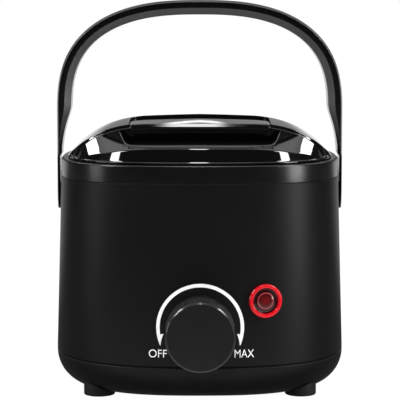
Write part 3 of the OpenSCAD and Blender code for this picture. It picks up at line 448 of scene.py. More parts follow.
# %% Red lens
lamp_lo, lamp_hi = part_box("lamp_lens")
LAMP_H = (lamp_lo.z + lamp_hi.z) / 2
LAMP_R = (lamp_hi.z - lamp_lo.z) / 2
LAMP_X = 31.9 * MM
LAMP_REACH = plan_reach(body_half(LAMP_H), LAMP_X)
LAMP_TURN = math.atan((LAMP_X / LAMP_REACH) ** (PLAN_POWER - 1))
JEWEL_R = 8.6 * MM
lamp_out = Vector((math.sin(LAMP_TURN), -math.cos(LAMP_TURN), 0))
lamp_centre = Vector((LAMP_X, AXIS_Y - LAMP_REACH, LAMP_H))

LENS_CLOUD, LENS_WAVE = 500, 220
RING_BLUR = 0.015
RING_RED = (0.50, 0.004, 0.010, 1)
EDGE_RED = (0.05, 0.001, 0.002, 1)
LENS_STOPS = [
    (0.0, (0.16, 0.002, 0.004, 1)), (0.25, (0.07, 0.001, 0.002, 1)), (0.44, EDGE_RED),
    (0.475, (0.34, 0.06, 0.07, 1)), (0.51, (0.025, 0.0005, 0.001, 1)), (0.72, (0.015, 0.0005, 0.001, 1)),
    (0.77, RING_RED), (0.965, RING_RED), (1.0, EDGE_RED),
]


def jewel_red(name):
    """Clear red plastic, bright in the ring and deep in the middle."""
    finish = Finish(name, {"Specular IOR Level": 0.6, "Emission Strength": 0.2})
    centred = finish.node("Mapping", None, {"Vector": finish.place, "Location": tuple(-lamp_centre)})
    length = finish.node("VectorMath", {"operation": "LENGTH"}, {0: centred}, "Value")
    cloud = finish.noise(LENS_CLOUD, 3)
    share = length / JEWEL_R + (cloud - 0.5) * RING_BLUR
    colour = finish.node("ValToRGB", {"stops": LENS_STOPS}, {0: share})
    finish.set({"Base Color": colour, "Emission Color": colour, "Roughness": 0.06 + cloud * 0.04})
    finish.bump(finish.noise(LENS_WAVE, 2), 0.01 * MM)


jewel_red("lamp_red")
print(f"red lens turned {math.degrees(LAMP_TURN):.1f} degrees to the right")

# %% [markdown]
# Each solid that stays on show gets the finish of its material slot, so nothing is left in the
# plain colour that it was imported with. Finishes and slots share their names, so one loop over the
# record is enough.

# %% Finishes for the solids
for part in frame["record"]["subparts"]:
    solid = frame["nodes"][part["node"]]
    solid.data.materials.clear()
    solid.data.materials.append(FINISHES[part["material_slot"]])

# %% [markdown]
# Most shells of the warmer are lofts: a ring is drawn, extruded, and each new ring is set where
# the next level of the shape lies. A subdivision surface over a coarse cage would be quicker, but
# it only comes near the measured shape, and a loft goes through it. Corners of a profile are
# rounded before the loft, so edges catch light as moulded ones do.

# %% Runs of points and lofts
MERGE = 0.0005 * MM
HALF_SIDE = 0.49


def rounded(corners, steps=5, closed=False, cuts=1):
    """A run of points through (u, v, radius) corners, with a curve at each corner that has a radius.

    Each straight stretch is cut into even pieces, so that two runs of like corners match point by point.
    """
    count = len(corners)
    turns = []
    for i, (u, v, radius) in enumerate(corners):
        corner = Vector((u, v))
        at_end = not closed and i in (0, count - 1)
        if radius == 0 or at_end:
            turns.append([corner])
            continue
        before = Vector(corners[i - 1][:2]) - corner
        after = Vector(corners[(i + 1) % count][:2]) - corner
        reach = radius / math.tan(before.angle(after) / 2)
        start = corner + before.normalized() * min(reach, before.length * HALF_SIDE)
        end = corner + after.normalized() * min(reach, after.length * HALF_SIDE)
        curve = [k / steps for k in range(steps + 1)]
        turns.append([(1 - t) ** 2 * start + 2 * t * (1 - t) * corner + t * t * end for t in curve])
    points = []
    for i, turn in enumerate(turns):
        points += turn
        if closed or i < count - 1:
            ahead = turns[(i + 1) % count][0]
            points += [turn[-1].lerp(ahead, k / cuts) for k in range(1, cuts)]
    return points


def close_skin(bm):
    """Merge what meets, then turn all faces outwards."""
    bmesh.ops.remove_doubles(bm, verts=bm.verts, dist=MERGE)
    bmesh.ops.recalc_face_normals(bm, faces=bm.faces)
    return bm


def loft(rings, closed=False, capped=False):
    """A skin through rings of points. A closed loft ends where it began."""
    bm = bmesh.new()
    step = bm.verts.layers.int.new("step")
    for i, v in enumerate(bmesh.ops.create_circle(bm, segments=len(rings[0]), radius=1.0)["verts"]):
        v[step] = i
        v.co = rings[0][i]
    first = edges = bm.edges[:]
    for points in rings[1:] + (rings[:1] if closed else []):
        grown = bmesh.ops.extrude_edge_only(bm, edges=edges)["geom"]
        edges = [g for g in grown if isinstance(g, bmesh.types.BMEdge)]
        for v in grown:
            if isinstance(v, bmesh.types.BMVert):
                v.co = points[v[step]]
    if capped:
        for rim in (first, edges):
            bmesh.ops.contextual_create(bm, geom=rim)
    return close_skin(bm)


print("loft kit ready")

# %% [markdown]
# A bmesh is only a workbench. To become a piece it is written into a mesh, gets its finish and a
# smooth shading that breaks at real edges, and rides on the body that it moves with. A solid that
# a piece stands for is hidden. The place of a piece is in its mesh, and its
# object stays at the origin, so that a pattern on object coordinates stays where it is.

# %% Pieces
SHARP_ANGLE = 38


def to_mesh(name, bm):
    """A mesh with a bmesh's geometry, after which the bmesh is done with."""
    mesh = bpy.data.meshes.new(name)
    bm.to_mesh(mesh)
    bm.free()
    return mesh


def shade(mesh, sharp_angle):
    mesh.shade_smooth()
    mesh.set_sharp_from_angle(angle=math.radians(sharp_angle))


def piece(name, bm, body, slot, replaces=(), finish=None, sharp_angle=SHARP_ANGLE):
    """Turn a bmesh into a piece that rides on a body and may stand for solids."""
    mesh = to_mesh(name, bm)
    mesh.materials.append(FINISHES[finish or slot])
    shade(mesh, sharp_angle)
    made = show(name, mesh)
    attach(made, body)
    if replaces:
        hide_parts(*replaces)
    print(f"{name}: {len(mesh.polygons)} faces")
    return made


print("piece kit ready")

# %% [markdown]
# The housing is a thin moulded wall, open at both ends. A solidified sheet would give the wall,
# but not the ends: these are stepped in a little, which makes the fine dark seams that run round
# the body. So the profile of the wall, with its steps, is drawn once and lofted round the plan.

# %% Housing
SHELL_WALL = 2.4 * MM
SEAM_ROUND = 0.5 * MM
COLLAR_EDGE = 0.2 * MM
PLAN_STEPS = 240
plan_turns = [2 * math.pi * i / PLAN_STEPS for i in range(PLAN_STEPS)]


def plan_radius(c, s):
    """Radius of the plan along a direction, for a half width of 1."""
    return (abs(c) ** PLAN_POWER + abs(s) ** PLAN_POWER) ** (-1 / PLAN_POWER)


def plan_ring(half, z):
    """Ring of the rounded-square plan."""
    ring = []
    for t in plan_turns:
        c, s = math.cos(t), math.sin(t)
        r = plan_radius(c, s)
        ring.append(Vector((half * (r * c), AXIS_Y + half * (r * s), z)))
    return ring


housing_profile = rounded([
    (SEAM_GROOVE, BASE_SEAM, 0), (0, BASE_SEAM + SEAM_GROOVE, SEAM_ROUND),
    (0, COLLAR_SEAM, COLLAR_EDGE), (SHELL_WALL, COLLAR_SEAM, 0), (SHELL_WALL, BASE_SEAM, 0),
])
housing_rings = [plan_ring(body_half(p.y) - p.x, p.y) for p in housing_profile]
housing_shell = piece(
    "housing_shell", loft(housing_rings, closed=True), "housing", "body_black", ["housing"])

# %% [markdown]
# Round openings go through the wall for the lamp, the knob's bush, the cord gland and the handle's
# pins. Cut by hand, a hole in a curved wall needs edges of its own. A Boolean modifier with a round
# cutter finds them by itself, and it is turned into plain mesh at once, so nothing stays live.


# %% Housing openings
def rod(radius, start, end, segments=64):
    """A plain round bar between two points."""
    bm = bmesh.new()
    axis = end - start
    turn = Vector((0, 0, 1)).rotation_difference(axis).to_matrix().to_4x4()
    bmesh.ops.create_cone(
        bm, cap_ends=True, segments=segments, radius1=radius, radius2=radius, depth=axis.length,
        matrix=Matrix.Translation((start + end) / 2) @ turn)
    return bm


def final_mesh(made):
    """The mesh of an object as its modifiers, or its curve, leave it."""
    return bpy.data.meshes.new_from_object(made.evaluated_get(bpy.context.evaluated_depsgraph_get()))


def cut(made, cutter_bm, sharp_angle=SHARP_ANGLE):
    """Take a cutter's shape out of a piece."""
    cutter = show("cutter", to_mesh("cutter", cutter_bm))
    modifier = made.modifiers.new("cut", "BOOLEAN")
    modifier.object = cutter
    modifier.operation = "DIFFERENCE"
    modifier.solver = "EXACT"
    result = final_mesh(made)
    made.modifiers.clear()
    result.name = made.data.name
    made.data = result
    bpy.data.objects.remove(cutter)
    shade(result, sharp_angle)
    print(f"{made.name}: {len(result.polygons)} faces after the cut")


knob_lo, knob_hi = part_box("knob")
gland_lo, gland_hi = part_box("cord_gland")
KNOB_H = (knob_lo.z + knob_hi.z) / 2
GLAND_H = (gland_lo.z + gland_hi.z) / 2
PIVOT_H = next(joint for joint in frame["joints"] if joint["name"] == "handle_fold")["pos_m"][2]
CUT = 6 * MM
FIT_GAP = 0.1 * MM
LAMP_SINK = 0.6 * MM
BARREL_SHARE = 0.62
LAMP_BARREL_R = LAMP_R * BARREL_SHARE
BUSH_R = 4.6 * MM
PIN_R = 4.05 * MM
GLAND_BARREL_R = 5.9 * MM
GLAND_FLANGE_R = (gland_hi.z - gland_lo.z) / 2
GLAND_SINK = 0.4 * MM
bush_seat = Vector((0, AXIS_Y - body_half(KNOB_H), KNOB_H))
gland_seat = Vector((0, AXIS_Y + body_half(GLAND_H), GLAND_H))
pivot_axis = Vector((0, AXIS_Y, PIVOT_H))
through_wall = Vector((0, CUT, 0))
flange_depth = Vector((0, GLAND_SINK, 0))
pin_reach = Vector((BASE_HALF, 0, 0))

for radius, start, end in (
    (JEWEL_R + FIT_GAP, lamp_centre - LAMP_SINK * lamp_out, lamp_centre + CUT * lamp_out),
    (LAMP_BARREL_R + FIT_GAP, lamp_centre - CUT * lamp_out, lamp_centre + CUT * lamp_out),
    (BUSH_R, bush_seat - through_wall, bush_seat + through_wall),
    (GLAND_FLANGE_R + FIT_GAP, gland_seat - flange_depth, gland_seat + through_wall),
    (GLAND_BARREL_R + FIT_GAP, gland_seat - through_wall, gland_seat + through_wall),
    (PIN_R, pivot_axis - pin_reach, pivot_axis + pin_reach),
):
    cut(housing_shell, rod(radius, start, end))

# %% [markdown]
# The collar is a smoother band with a round opening in its top plate. Cut from a plate, the opening
# would have a sharp edge that had to be bevelled. Here the loft itself runs from the rounded square
# outside to a circle inside, over edges that are already round.

# %% Collar
COLLAR_GROOVE = SEAM_GROOVE / 2
GROOVE_ROUND = 0.15 * MM
BAND_ROUND = 0.3 * MM
RIM_ROUND = 1.0 * MM
RIM_FLAT = 3.2 * MM
OPENING_R = 60.4 * MM
OPENING_ROUND = 0.6 * MM
OPENING_FLAT = 2 * MM
PLATE = 4.0 * MM
PLATE_ROUND = 0.4 * MM
PLATE_FLAT = 3 * MM


def round_ring(radius, z):
    """Ring round the body's axis."""
    return [Vector((radius * math.cos(t), AXIS_Y + radius * math.sin(t), z)) for t in plan_turns]


collar_outside = rounded([
    (SHELL_WALL, COLLAR_SEAM, 0), (COLLAR_GROOVE, COLLAR_SEAM, GROOVE_ROUND),
    (0, COLLAR_SEAM + COLLAR_GROOVE, BAND_ROUND), (0, RIM, RIM_ROUND), (RIM_FLAT, RIM, 0),
], steps=7)
collar_inside = rounded([
    (OPENING_R + OPENING_FLAT, RIM, 0), (OPENING_R, RIM, OPENING_ROUND),
    (OPENING_R, RIM - PLATE, PLATE_ROUND), (OPENING_R + PLATE_FLAT, RIM - PLATE, 0),
])
collar_rings = [plan_ring(body_half(p.y) - p.x, p.y) for p in collar_outside]
collar_rings += [round_ring(p.x, p.y) for p in collar_inside]
collar_rings.append(plan_ring(body_half(RIM - PLATE) - SHELL_WALL, RIM - PLATE))
piece(
    "collar_band", loft(collar_rings, closed=True), "housing", "collar_black", ["top_collar"])

# %% [markdown]
# The base pan curves under like the bottom of a bowl. A bevel on a box gives a circle's arc, and
# the real curve is longer sideways than it is high, so it is drawn as a quarter of an ellipse. The
# inside follows it one wall thickness further in, and round seats for the feet are cut from below.

# %% Base pan
PAN_CLEAR = pan_lo.z
PAN_ROUND = 16.0 * MM
PAN_SIDE_H = BASE_SEAM - SEAM_GROOVE
PAN_STEPS = 20
PAN_LIP_IN = 0.15 * MM
PAN_LIP_RISE = 0.2 * MM
PAN_LIP_ROUND = 0.2 * MM


def pan_curve(inset):
    """Half widths and heights up the pan's side, from its floor."""
    for k in range(PAN_STEPS + 1):
        t = math.pi / 2 * k / PAN_STEPS
        yield (
            BASE_HALF - PAN_ROUND * (1 - math.sin(t)) - inset,
            PAN_SIDE_H - (PAN_SIDE_H - PAN_CLEAR - inset) * math.cos(t),
        )


pan_outside = [(0, PAN_CLEAR)] + list(pan_curve(0))
pan_inside = list(pan_curve(SHELL_WALL))[::-1] + [(0, PAN_CLEAR + SHELL_WALL)]
pan_lip = rounded([
    (BASE_HALF - PAN_LIP_IN, PAN_SIDE_H + PAN_LIP_RISE, 0),
    (BASE_HALF - SEAM_GROOVE, BASE_SEAM, PAN_LIP_ROUND), (BASE_HALF - SHELL_WALL, BASE_SEAM, 0),
])
pan_levels = pan_outside + [tuple(p) for p in pan_lip] + pan_inside
pan_skin = loft([plan_ring(half, z) for half, z in pan_levels])
base_shell = piece("base_shell", pan_skin, "housing", "body_black", ["base_pan"])

feet_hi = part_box("rubber_feet")[1]
FOOT_R = 7.9 * MM
FOOT_SEAT = feet_hi.z
foot_spots = [
    Vector((sx * (feet_hi.x - FOOT_R), AXIS_Y + sy * (feet_hi.y - AXIS_Y - FOOT_R), 0))
    for sx in (-1, 1) for sy in (-1, 1)
]
for spot in foot_spots:
    cut(base_shell, rod(FOOT_R + FIT_GAP, spot - Vector((0, 0, CUT)), spot + Vector((0, 0, FOOT_SEAT))))

# %% [markdown]
# The feet are rubber buttons with a rounded lower edge. The hollow under each holds the head of a
# base screw. They are turned forms, so their profile is drawn once and spun. A cylinder with a
# bevel would need the hollow cut out of it afterwards.

# %% Feet
SCREW_HEAD_R = 3.05 * MM
SCREW_HOLE_R = 1.6 * MM
FOOT_STEPS = 64


def spun(profile, centre, axis, steps):
    """A turned form: a run of (radius, reach) points spun round an axis."""
    bm = bmesh.new()
    turn = Vector((0, 0, 1)).rotation_difference(axis).to_matrix()
    verts = [bm.verts.new(centre + turn @ Vector((r, 0, h))) for r, h in profile]
    edges = [bm.edges.new(pair) for pair in zip(verts, verts[1:])]
    bmesh.ops.spin(
        bm, geom=verts + edges, cent=centre, axis=axis, angle=2 * math.pi, steps=steps, use_merge=True)
    return close_skin(bm)


def add(bm, other):
    """Put another bmesh's geometry into a bmesh."""
    mesh = to_mesh("added", other)
    bm.from_mesh(mesh)
    bpy.data.meshes.remove(mesh)


foot_profile = rounded([
    (SCREW_HOLE_R, FOOT_SEAT, 0), (FOOT_R, FOOT_SEAT, 0.3 * MM), (FOOT_R, 0, 0.8 * MM),
    (SCREW_HEAD_R, 0, 0.4 * MM), (SCREW_HEAD_R, FOOT_SEAT / 2, 0), (SCREW_HOLE_R, FOOT_SEAT / 2, 0),
    (SCREW_HOLE_R, FOOT_SEAT, 0),
], steps=6)
feet = bmesh.new()
for spot in foot_spots:
    add(feet, spun(foot_profile, spot, Vector((0, 0, 1)), FOOT_STEPS))
piece("turned_feet", feet, "housing", "foot_rubber", ["rubber_feet"])

# %% [markdown]
# The lid is the hardest piece. Seen from the front it is an arch, which becomes a dome towards the
# back. Its front is a sunken face of two facets, a steep one that rises from the rim to a crease and
# a gentle one above it, and the arch's edge stands over that face as a fine step. Sculpted by hand,
# the facets would not mirror the studio cleanly. So each of these forms is written as a height over
# the plan, and a soft minimum, in place of a sharp one, rounds what meets.

# %% Lid surface
lid_lo, lid_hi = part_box("lid")
LID_GAP = 0.3 * MM
LID_BASE = RIM + LID_GAP
LID_HALF = lid_hi.x
LID_RISE = lid_hi.z - LID_BASE
SHOULDER = 0.772
FLAT = 0.4
FRONT_DROP = 5.0 * MM
DROP_POWER = 1.25
CROWN = 1.1 * MM
CROWN_HALF = 35.0 * MM
CROWN_FRONT = 42.0 * MM
CROWN_POWER = 1.3


def soft_min(a, b, width):
    """The lower of two heights, rounded off where they come within a width of each other."""
    share = max(width - abs(a - b), 0) / width
    return min(a, b) - share * share * width / 4


def side_curve(share):
    """Height of the lid's side curve at a share of its half width, a quadratic curve."""
    if share <= FLAT:
        return LID_RISE
    a = 1 - 2 * SHOULDER + FLAT
    b = 2 * SHOULDER - 2
    t = (-b - math.sqrt(b * b - 4 * a * (1 - share))) / (2 * a)
    return LID_RISE * (2 * t - t * t)


def arch_height(x, y):
    """Height of the arch: highest across the middle, falling to the front and to the back."""
    drop = FRONT_DROP / LID_RISE * (abs(y) / LID_HALF) ** DROP_POWER
    back = max(y, 0)
    share = ((abs(x) ** PLAN_POWER + back ** PLAN_POWER) ** (1 / PLAN_POWER)) / LID_HALF
    height = side_curve(min(share, 1)) * (1 - drop)
    crown = CROWN * min(abs(x) / CROWN_HALF, 1) ** CROWN_POWER * min(max(1 + y / CROWN_FRONT, 0), 1)
    return height - crown * height / LID_RISE


print(f"lid top {arch_height(0, 0) / MM:.1f} mm above its base")

# %% [markdown]
# The front face lies on rings that have the same rounded-square plan as the rim, so its facets
# curve round to the sides as the rim does. The crease between them falls to the rim at both ends.

# %% Lid front
FACE_H = 7.6 * MM
FACE_SLOPE = 0.44
FACET_IN = 3.6 * MM
CREASE_END = 64.0 * MM
CREASE_POWER = 3.5
CREASE_SOFT = 0.06 * MM
EDGE_OVER = 0.9 * MM
EDGE_SOFT = 0.6 * MM
SLOPE_IN = 31.0 * MM
STEP_SLOPE = 2.6
FOOT_SOFT = 0.4 * MM


def facet_reach(x, y):
    """How far forward a point lies, as the front half depth of the ring through it."""
    return LID_HALF * -y / max(plan_reach(LID_HALF, x), 1e-9)


def crease_height(x):
    """Height of the crease between the two front facets, which falls to the rim at its ends."""
    return FACE_H * max(1 - (abs(x) / CREASE_END) ** CREASE_POWER, 0)


def edge_height(x, y):
    """Height of the surface that the arch ends against, which sets where its edge runs."""
    reach = facet_reach(x, y)
    crease = crease_height(x) + EDGE_OVER
    slope = (LID_RISE - FACE_H - EDGE_OVER) / (SLOPE_IN - FACET_IN)
    return min((LID_HALF - reach) * crease / FACET_IN, crease + (LID_HALF - FACET_IN - reach) * slope)


def front_height(x, y):
    """Height of the sunken front face: a steep lower facet and a gentle upper one."""
    reach = facet_reach(x, y)
    lower = (LID_HALF - reach) * crease_height(x) / FACET_IN
    upper = crease_height(x) + (LID_HALF - FACET_IN - reach) * FACE_SLOPE
    return soft_min(lower, upper, CREASE_SOFT)


def lid_height(c, s, r, edge):
    """Height of the lid's skin at a radius along a ray that crosses the arch's edge at another."""
    arch = arch_height(r * c, r * s)
    if s >= 0:
        return arch
    wall = arch_height(edge * c, edge * s) - (r - edge) * STEP_SLOPE
    height = soft_min(arch, wall, EDGE_SOFT)
    if r > edge:
        height = -soft_min(-height, -front_height(r * c, r * s), FOOT_SOFT)
    return height


print(f"crease {crease_height(0) / MM:.1f} mm above the lid's base in the middle")

# %% [markdown]
# The skin is a loft of rings round the lid's centre. An even grid would blur the crease and the
# edge, or need very many faces. So along each ray the rings crowd together where the ray crosses
# these two lines, which are found by halving, and the mesh follows them.

# %% Lid rays
RAYS = 320
LID_EDGE_SOFT = 0.4 * MM
BISECTIONS = 40
NEAR_BORDER = 0.9999
EDGE_ROOM = 3.0 * MM
CREASE_ROOM = 2.2 * MM
STEP_ROOM = 0.8 * MM
EDGE_ZONE = 3 * MM
CREASE_ZONE = 1.2 * MM
ZONE_SHARE = 0.45
DOME_RINGS, EDGE_RINGS, FACE_RINGS, CREASE_RINGS, RIM_RINGS = 24, 14, 8, 5, 8


def crossing(found, high):
    """Radius where a test that is false near the centre becomes true."""
    if not found(high):
        return high
    low = 0
    for _ in range(BISECTIONS):
        middle = (low + high) / 2
        if found(middle):
            high = middle
        else:
            low = middle
    return high


def ray_radii(c, s):
    """Radii of the rings along one ray, dense at the crease and at the arch's edge."""
    border = LID_HALF * plan_radius(c, s)
    edge = crease = border
    if s < 0:
        last = border * NEAR_BORDER
        crease = crossing(lambda r: facet_reach(r * c, r * s) > LID_HALF - FACET_IN, last)
        edge = crossing(lambda r: arch_height(r * c, r * s) > edge_height(r * c, r * s), last)
    true_edge = edge
    edge = min(edge, border - EDGE_ROOM)
    crease = max(min(crease, border - CREASE_ROOM), edge + STEP_ROOM)
    edge_zone = min(EDGE_ZONE, ZONE_SHARE * (crease - edge))
    crease_zone = min(CREASE_ZONE, ZONE_SHARE * (crease - edge))
    radii = [k / DOME_RINGS * (edge - edge_zone) for k in range(DOME_RINGS + 1)]
    radii += [edge + edge_zone * k / EDGE_RINGS for k in range(1 - EDGE_RINGS, EDGE_RINGS + 1)]
    gap = (crease - crease_zone) - (edge + edge_zone)
    radii += [edge + edge_zone + gap * k / FACE_RINGS for k in range(1, FACE_RINGS + 1)]
    radii += [crease + crease_zone * k / CREASE_RINGS for k in range(1 - CREASE_RINGS, CREASE_RINGS + 1)]
    left = border - LID_EDGE_SOFT - crease - crease_zone
    radii += [crease + crease_zone + left * k / RIM_RINGS for k in range(1, RIM_RINGS + 1)]
    return radii, border, true_edge


ray_turns = [2 * math.pi * (i + 0.5) / RAYS for i in range(RAYS)]
print("rings along each ray:", len(ray_radii(0, -1)[0]))

# %% [markdown]
# Each ray goes out over the skin, down the thin rim, back in to the lip that sits in the collar's
# opening, and up to the roof inside. So the lid is one closed skin, with its wall already in it.

# %% Lid skin
LID_EDGE = 0.9 * MM
LID_UNDER = 0.6 * MM
LIP_R = 59.9 * MM
LIP_T = 2.0 * MM
LIP_H = LID_BASE - lid_lo.z
LIP_ROUND = 0.5 * MM
SEAT_ROUND = 0.3 * MM
SEAT_WIDTH = 3 * MM
UNDER_ROOF = 6.9 * MM
ROOF_ROUND = 2 * MM
LID_SHARP = 50


def lid_point(x, y, height):
    """A point over the lid's plan, at a height above the lid's base."""
    return Vector((x, AXIS_Y + y, LID_BASE + height))


under_profile = rounded([
    (LIP_R + SEAT_WIDTH, 0, 0), (LIP_R, 0, SEAT_ROUND), (LIP_R, -LIP_H, LIP_ROUND),
    (LIP_R - LIP_T, -LIP_H, LIP_ROUND), (LIP_R - LIP_T, UNDER_ROOF, ROOF_ROUND), (0, UNDER_ROOF, 0),
])
ray_columns = []
for c, s in [(math.cos(t), math.sin(t)) for t in ray_turns]:
    radii, border, edge = ray_radii(c, s)
    heights = [-soft_min(-lid_height(c, s, r, edge), -LID_EDGE, FOOT_SOFT) for r in radii]
    rim_profile = rounded([
        (border - LID_EDGE_SOFT, LID_EDGE, 0), (border, LID_EDGE, LID_EDGE_SOFT),
        (border, 0, SEAT_ROUND), (border - LID_UNDER, 0, 0),
    ])
    run = list(zip(radii, heights)) + [tuple(p) for p in rim_profile[1:] + under_profile]
    ray_columns.append([lid_point(r * c, r * s, height) for r, height in run])
lid_rings = [list(ring) for ring in zip(*ray_columns)]
lid_cover = piece("lid_cover", loft(lid_rings), "lid", "lid_black", ["lid"], sharp_angle=LID_SHARP)

# %% [markdown]
# A grip notch is cut in the lid's front, with a tongue for the fingertips over it. The notch has a
# rounded lip. A bevel on the edge that a cut leaves is fragile, because that edge crosses many small
# faces, so the cutter itself flares like a trumpet where it comes out of the sloping front. It stays
# just under the arch's edge, which runs on above it.

# %% Lid notch
POCKET_FLOOR = 9.3 * MM
POCKET_HALF = 37.0 * MM
POCKET_LEAN = 0.552
POCKET_CORNER = 5.0 * MM
NOTCH_TOP = 15.2 * MM
NOTCH_BACK = 27.0 * MM
MOUTH_ROUND = 1.1 * MM
MOUTH_FLARE = 0.9
MOUTH_OUT = 2 * MM
MOUTH_STEPS = 6
MOUTH_START = 0.35


def notch_outline(grow):
    """The notch as seen from the front, drawn out by a distance, as (sideways, height) points."""
    floor = POCKET_FLOOR - grow
    low = POCKET_HALF + grow * (math.sqrt(1 + POCKET_LEAN ** 2) - POCKET_LEAN)
    high = low + POCKET_LEAN * (NOTCH_TOP - floor)
    corner = POCKET_CORNER + grow
    corners = [(high, NOTCH_TOP, 0), (-high, NOTCH_TOP, 0), (-low, floor, corner), (low, floor, corner)]
    return rounded(corners, steps=10, closed=True, cuts=24)


def front_face_y(x, z):
    """How far forward the upper facet's surface lies at a height above the lid's base."""
    reach = LID_HALF - FACET_IN - (z - crease_height(x)) / FACE_SLOPE
    return -reach * plan_reach(LID_HALF, x) / LID_HALF


def notch_ring(grow, sink):
    """A ring of the cutter, sunk behind the front face by a depth."""
    return [lid_point(p.x, front_face_y(p.x, p.y) + sink, p.y) for p in notch_outline(grow)]


face_lean = math.sin(math.atan(FACE_SLOPE))
notch_rings = [notch_ring(MOUTH_ROUND * MOUTH_FLARE, -MOUTH_OUT)]
for k in range(MOUTH_STEPS + 1):
    turn = math.pi / 2 * max(k, MOUTH_START) / MOUTH_STEPS
    grow = MOUTH_ROUND * (1 - math.sin(turn))
    notch_rings.append(notch_ring(grow, MOUTH_ROUND * (1 - math.cos(turn)) / face_lean))
notch_rings.append([lid_point(p.x, -NOTCH_BACK, p.y) for p in notch_outline(0)])
NOTCH_MIDDLE = (POCKET_FLOOR + NOTCH_TOP) / 2
notch_mouth = lid_point(0, front_face_y(0, POCKET_FLOOR) - CUT, NOTCH_MIDDLE)
notch_end = lid_point(0, -NOTCH_BACK, NOTCH_MIDDLE)
around_notch = len(notch_rings[0])
notch_rings = [[notch_mouth] * around_notch] + notch_rings + [[notch_end] * around_notch]
print("rings of the notch's cutter:", len(notch_rings))

# %% [markdown]
# The tongue is a plate of its own, let into a recess of the lid with a hair of a gap all round it.
# It slopes down to the front, so that its top mirrors the light from behind. Its plan is drawn as
# a ring that can be shrunk, and shrunken rings fill the plan from its middle, so that its top bends
# with the arch. One flat face could not.

# %% Tongue's plan
TONGUE_FRONT = CROWN_FRONT
TONGUE_SINK = 1.4 * MM
TONGUE_T = 3.5 * MM
TONGUE_HALF = 36.0 * MM
TONGUE_CORNER = 6.0 * MM
WEB_STEPS = 10


def tongue_top(x, y):
    """Height of the tongue's top: flush with the arch in front, sunk under it at the back."""
    return arch_height(x, y) - TONGUE_SINK * max(1 + y / TONGUE_FRONT, 0)


def tongue_ring(inset, front, front_corner, drop, share=1.0):
    """Ring of the tongue's plan, drawn in by a distance or shrunk to a share, under the tongue's top."""
    half = TONGUE_HALF - inset
    back_corner = TONGUE_CORNER - min(inset, TONGUE_CORNER / 2)
    outline = rounded([
        (-half, -front, front_corner), (half, -front, front_corner),
        (half, -inset, back_corner), (-half, -inset, back_corner),
    ], steps=10, closed=True, cuts=12)
    spots = [(p.x * share, -front / 2 + (p.y + front / 2) * share) for p in outline]
    return [lid_point(x, y, tongue_top(x, y) - drop) for x, y in spots]


def tongue_web(inset, front, front_corner, drop):
    """Rings that fill a plan from its middle outwards."""
    shares = [k / WEB_STEPS for k in range(WEB_STEPS)]
    return [tongue_ring(inset, front, front_corner, drop, share) for share in shares]


print(f"tongue's front edge {tongue_top(0, -TONGUE_FRONT) / MM:.1f} mm above the lid's base")

# %% [markdown]
# Three cuts make the grip: the recess for the tongue, the notch in front, and the pocket that runs
# on under the tongue as far as fingertips reach. Their order matters. The recess goes first and
# reaches down past the notch's top, so that the later cutters end in open space and leave no thin
# sheet in front of the tongue.

# %% Lid cuts
POCKET_BACK = 16.0 * MM
POCKET_LOW_HALF = 33.4 * MM
POCKET_TOP_HALF = 35.2 * MM
POCKET_LAP = 1 * MM

recess_plan = (0, LID_HALF, 0)
recess_rings = tongue_web(*recess_plan, TONGUE_T) + [tongue_ring(*recess_plan, TONGUE_T)]
recess_rings += [tongue_ring(*recess_plan, -CUT)] + tongue_web(*recess_plan, -CUT)[::-1]
cut(lid_cover, loft(recess_rings), LID_SHARP)

cut(lid_cover, loft(notch_rings), LID_SHARP)

pocket = bmesh.new()
bmesh.ops.create_cube(pocket, size=1.0)
pocket_low = lid_point(-POCKET_TOP_HALF, -NOTCH_BACK - POCKET_LAP, POCKET_FLOOR)
pocket_high = lid_point(POCKET_TOP_HALF, -POCKET_BACK, NOTCH_TOP)
bmesh.ops.scale(pocket, vec=pocket_high - pocket_low, verts=pocket.verts)
bmesh.ops.translate(pocket, vec=(pocket_low + pocket_high) / 2, verts=pocket.verts)
pocket_floor = [v for v in pocket.verts if v.co.z < LID_BASE + NOTCH_MIDDLE]
bmesh.ops.scale(pocket, vec=(POCKET_LOW_HALF / POCKET_TOP_HALF, 1, 1), verts=pocket_floor)
cut(lid_cover, pocket, LID_SHARP)

# %% [markdown]
# The tongue's nose is chamfered, which gives it the two streaks of light that the real one shows,
# one on the top and one on the chamfer. The bevel operator would chamfer every edge alike, so the
# nose is drawn as a curve, and each of its points gives one ring of the plan.

# %% Tongue
TONGUE_SOFT = 0.3 * MM
TONGUE_GAP = 0.15 * MM
FRONT_CORNER = 2.2 * MM
NOSE_DEPTH = 1.2 * MM
NOSE_DROP = 1.45 * MM
NOSE_SOFT = 0.5 * MM
NOSE_RUN = 0.6 * MM
NOSE_LIP = 0.3 * MM
NOSE_STEPS = 6

nose_curve = rounded([
    (NOSE_DEPTH + NOSE_RUN, 0, 0), (NOSE_DEPTH, 0, NOSE_SOFT), (0, NOSE_DROP, NOSE_SOFT),
    (0, NOSE_DROP + NOSE_LIP, 0),
], steps=NOSE_STEPS)
edge_plans = []
for p in nose_curve:
    inset = TONGUE_GAP + TONGUE_SOFT * p.x / NOSE_DEPTH
    edge_plans.append(((inset, TONGUE_FRONT - p.x, FRONT_CORNER), p.y))
low_plan = (TONGUE_GAP + TONGUE_SOFT, TONGUE_FRONT - TONGUE_SOFT, FRONT_CORNER)
tongue_rings = tongue_web(*edge_plans[0][0], 0)
tongue_rings += [tongue_ring(*plan, drop) for plan, drop in edge_plans]
tongue_rings += [tongue_ring(*low_plan, TONGUE_T)] + tongue_web(*low_plan, TONGUE_T)[::-1]
piece("lid_tongue", loft(tongue_rings), "lid", "lid_black")

# %% [markdown]
# The handle is one strap bent into an arch. A curve with a bevel object would sweep one section,
# but this section changes on the way: beside the body the arms are thin, so that the handle can
# fold down past the body's corners, and above it they thicken. So stations are set along half of
# the arch, each with its own depth and width.

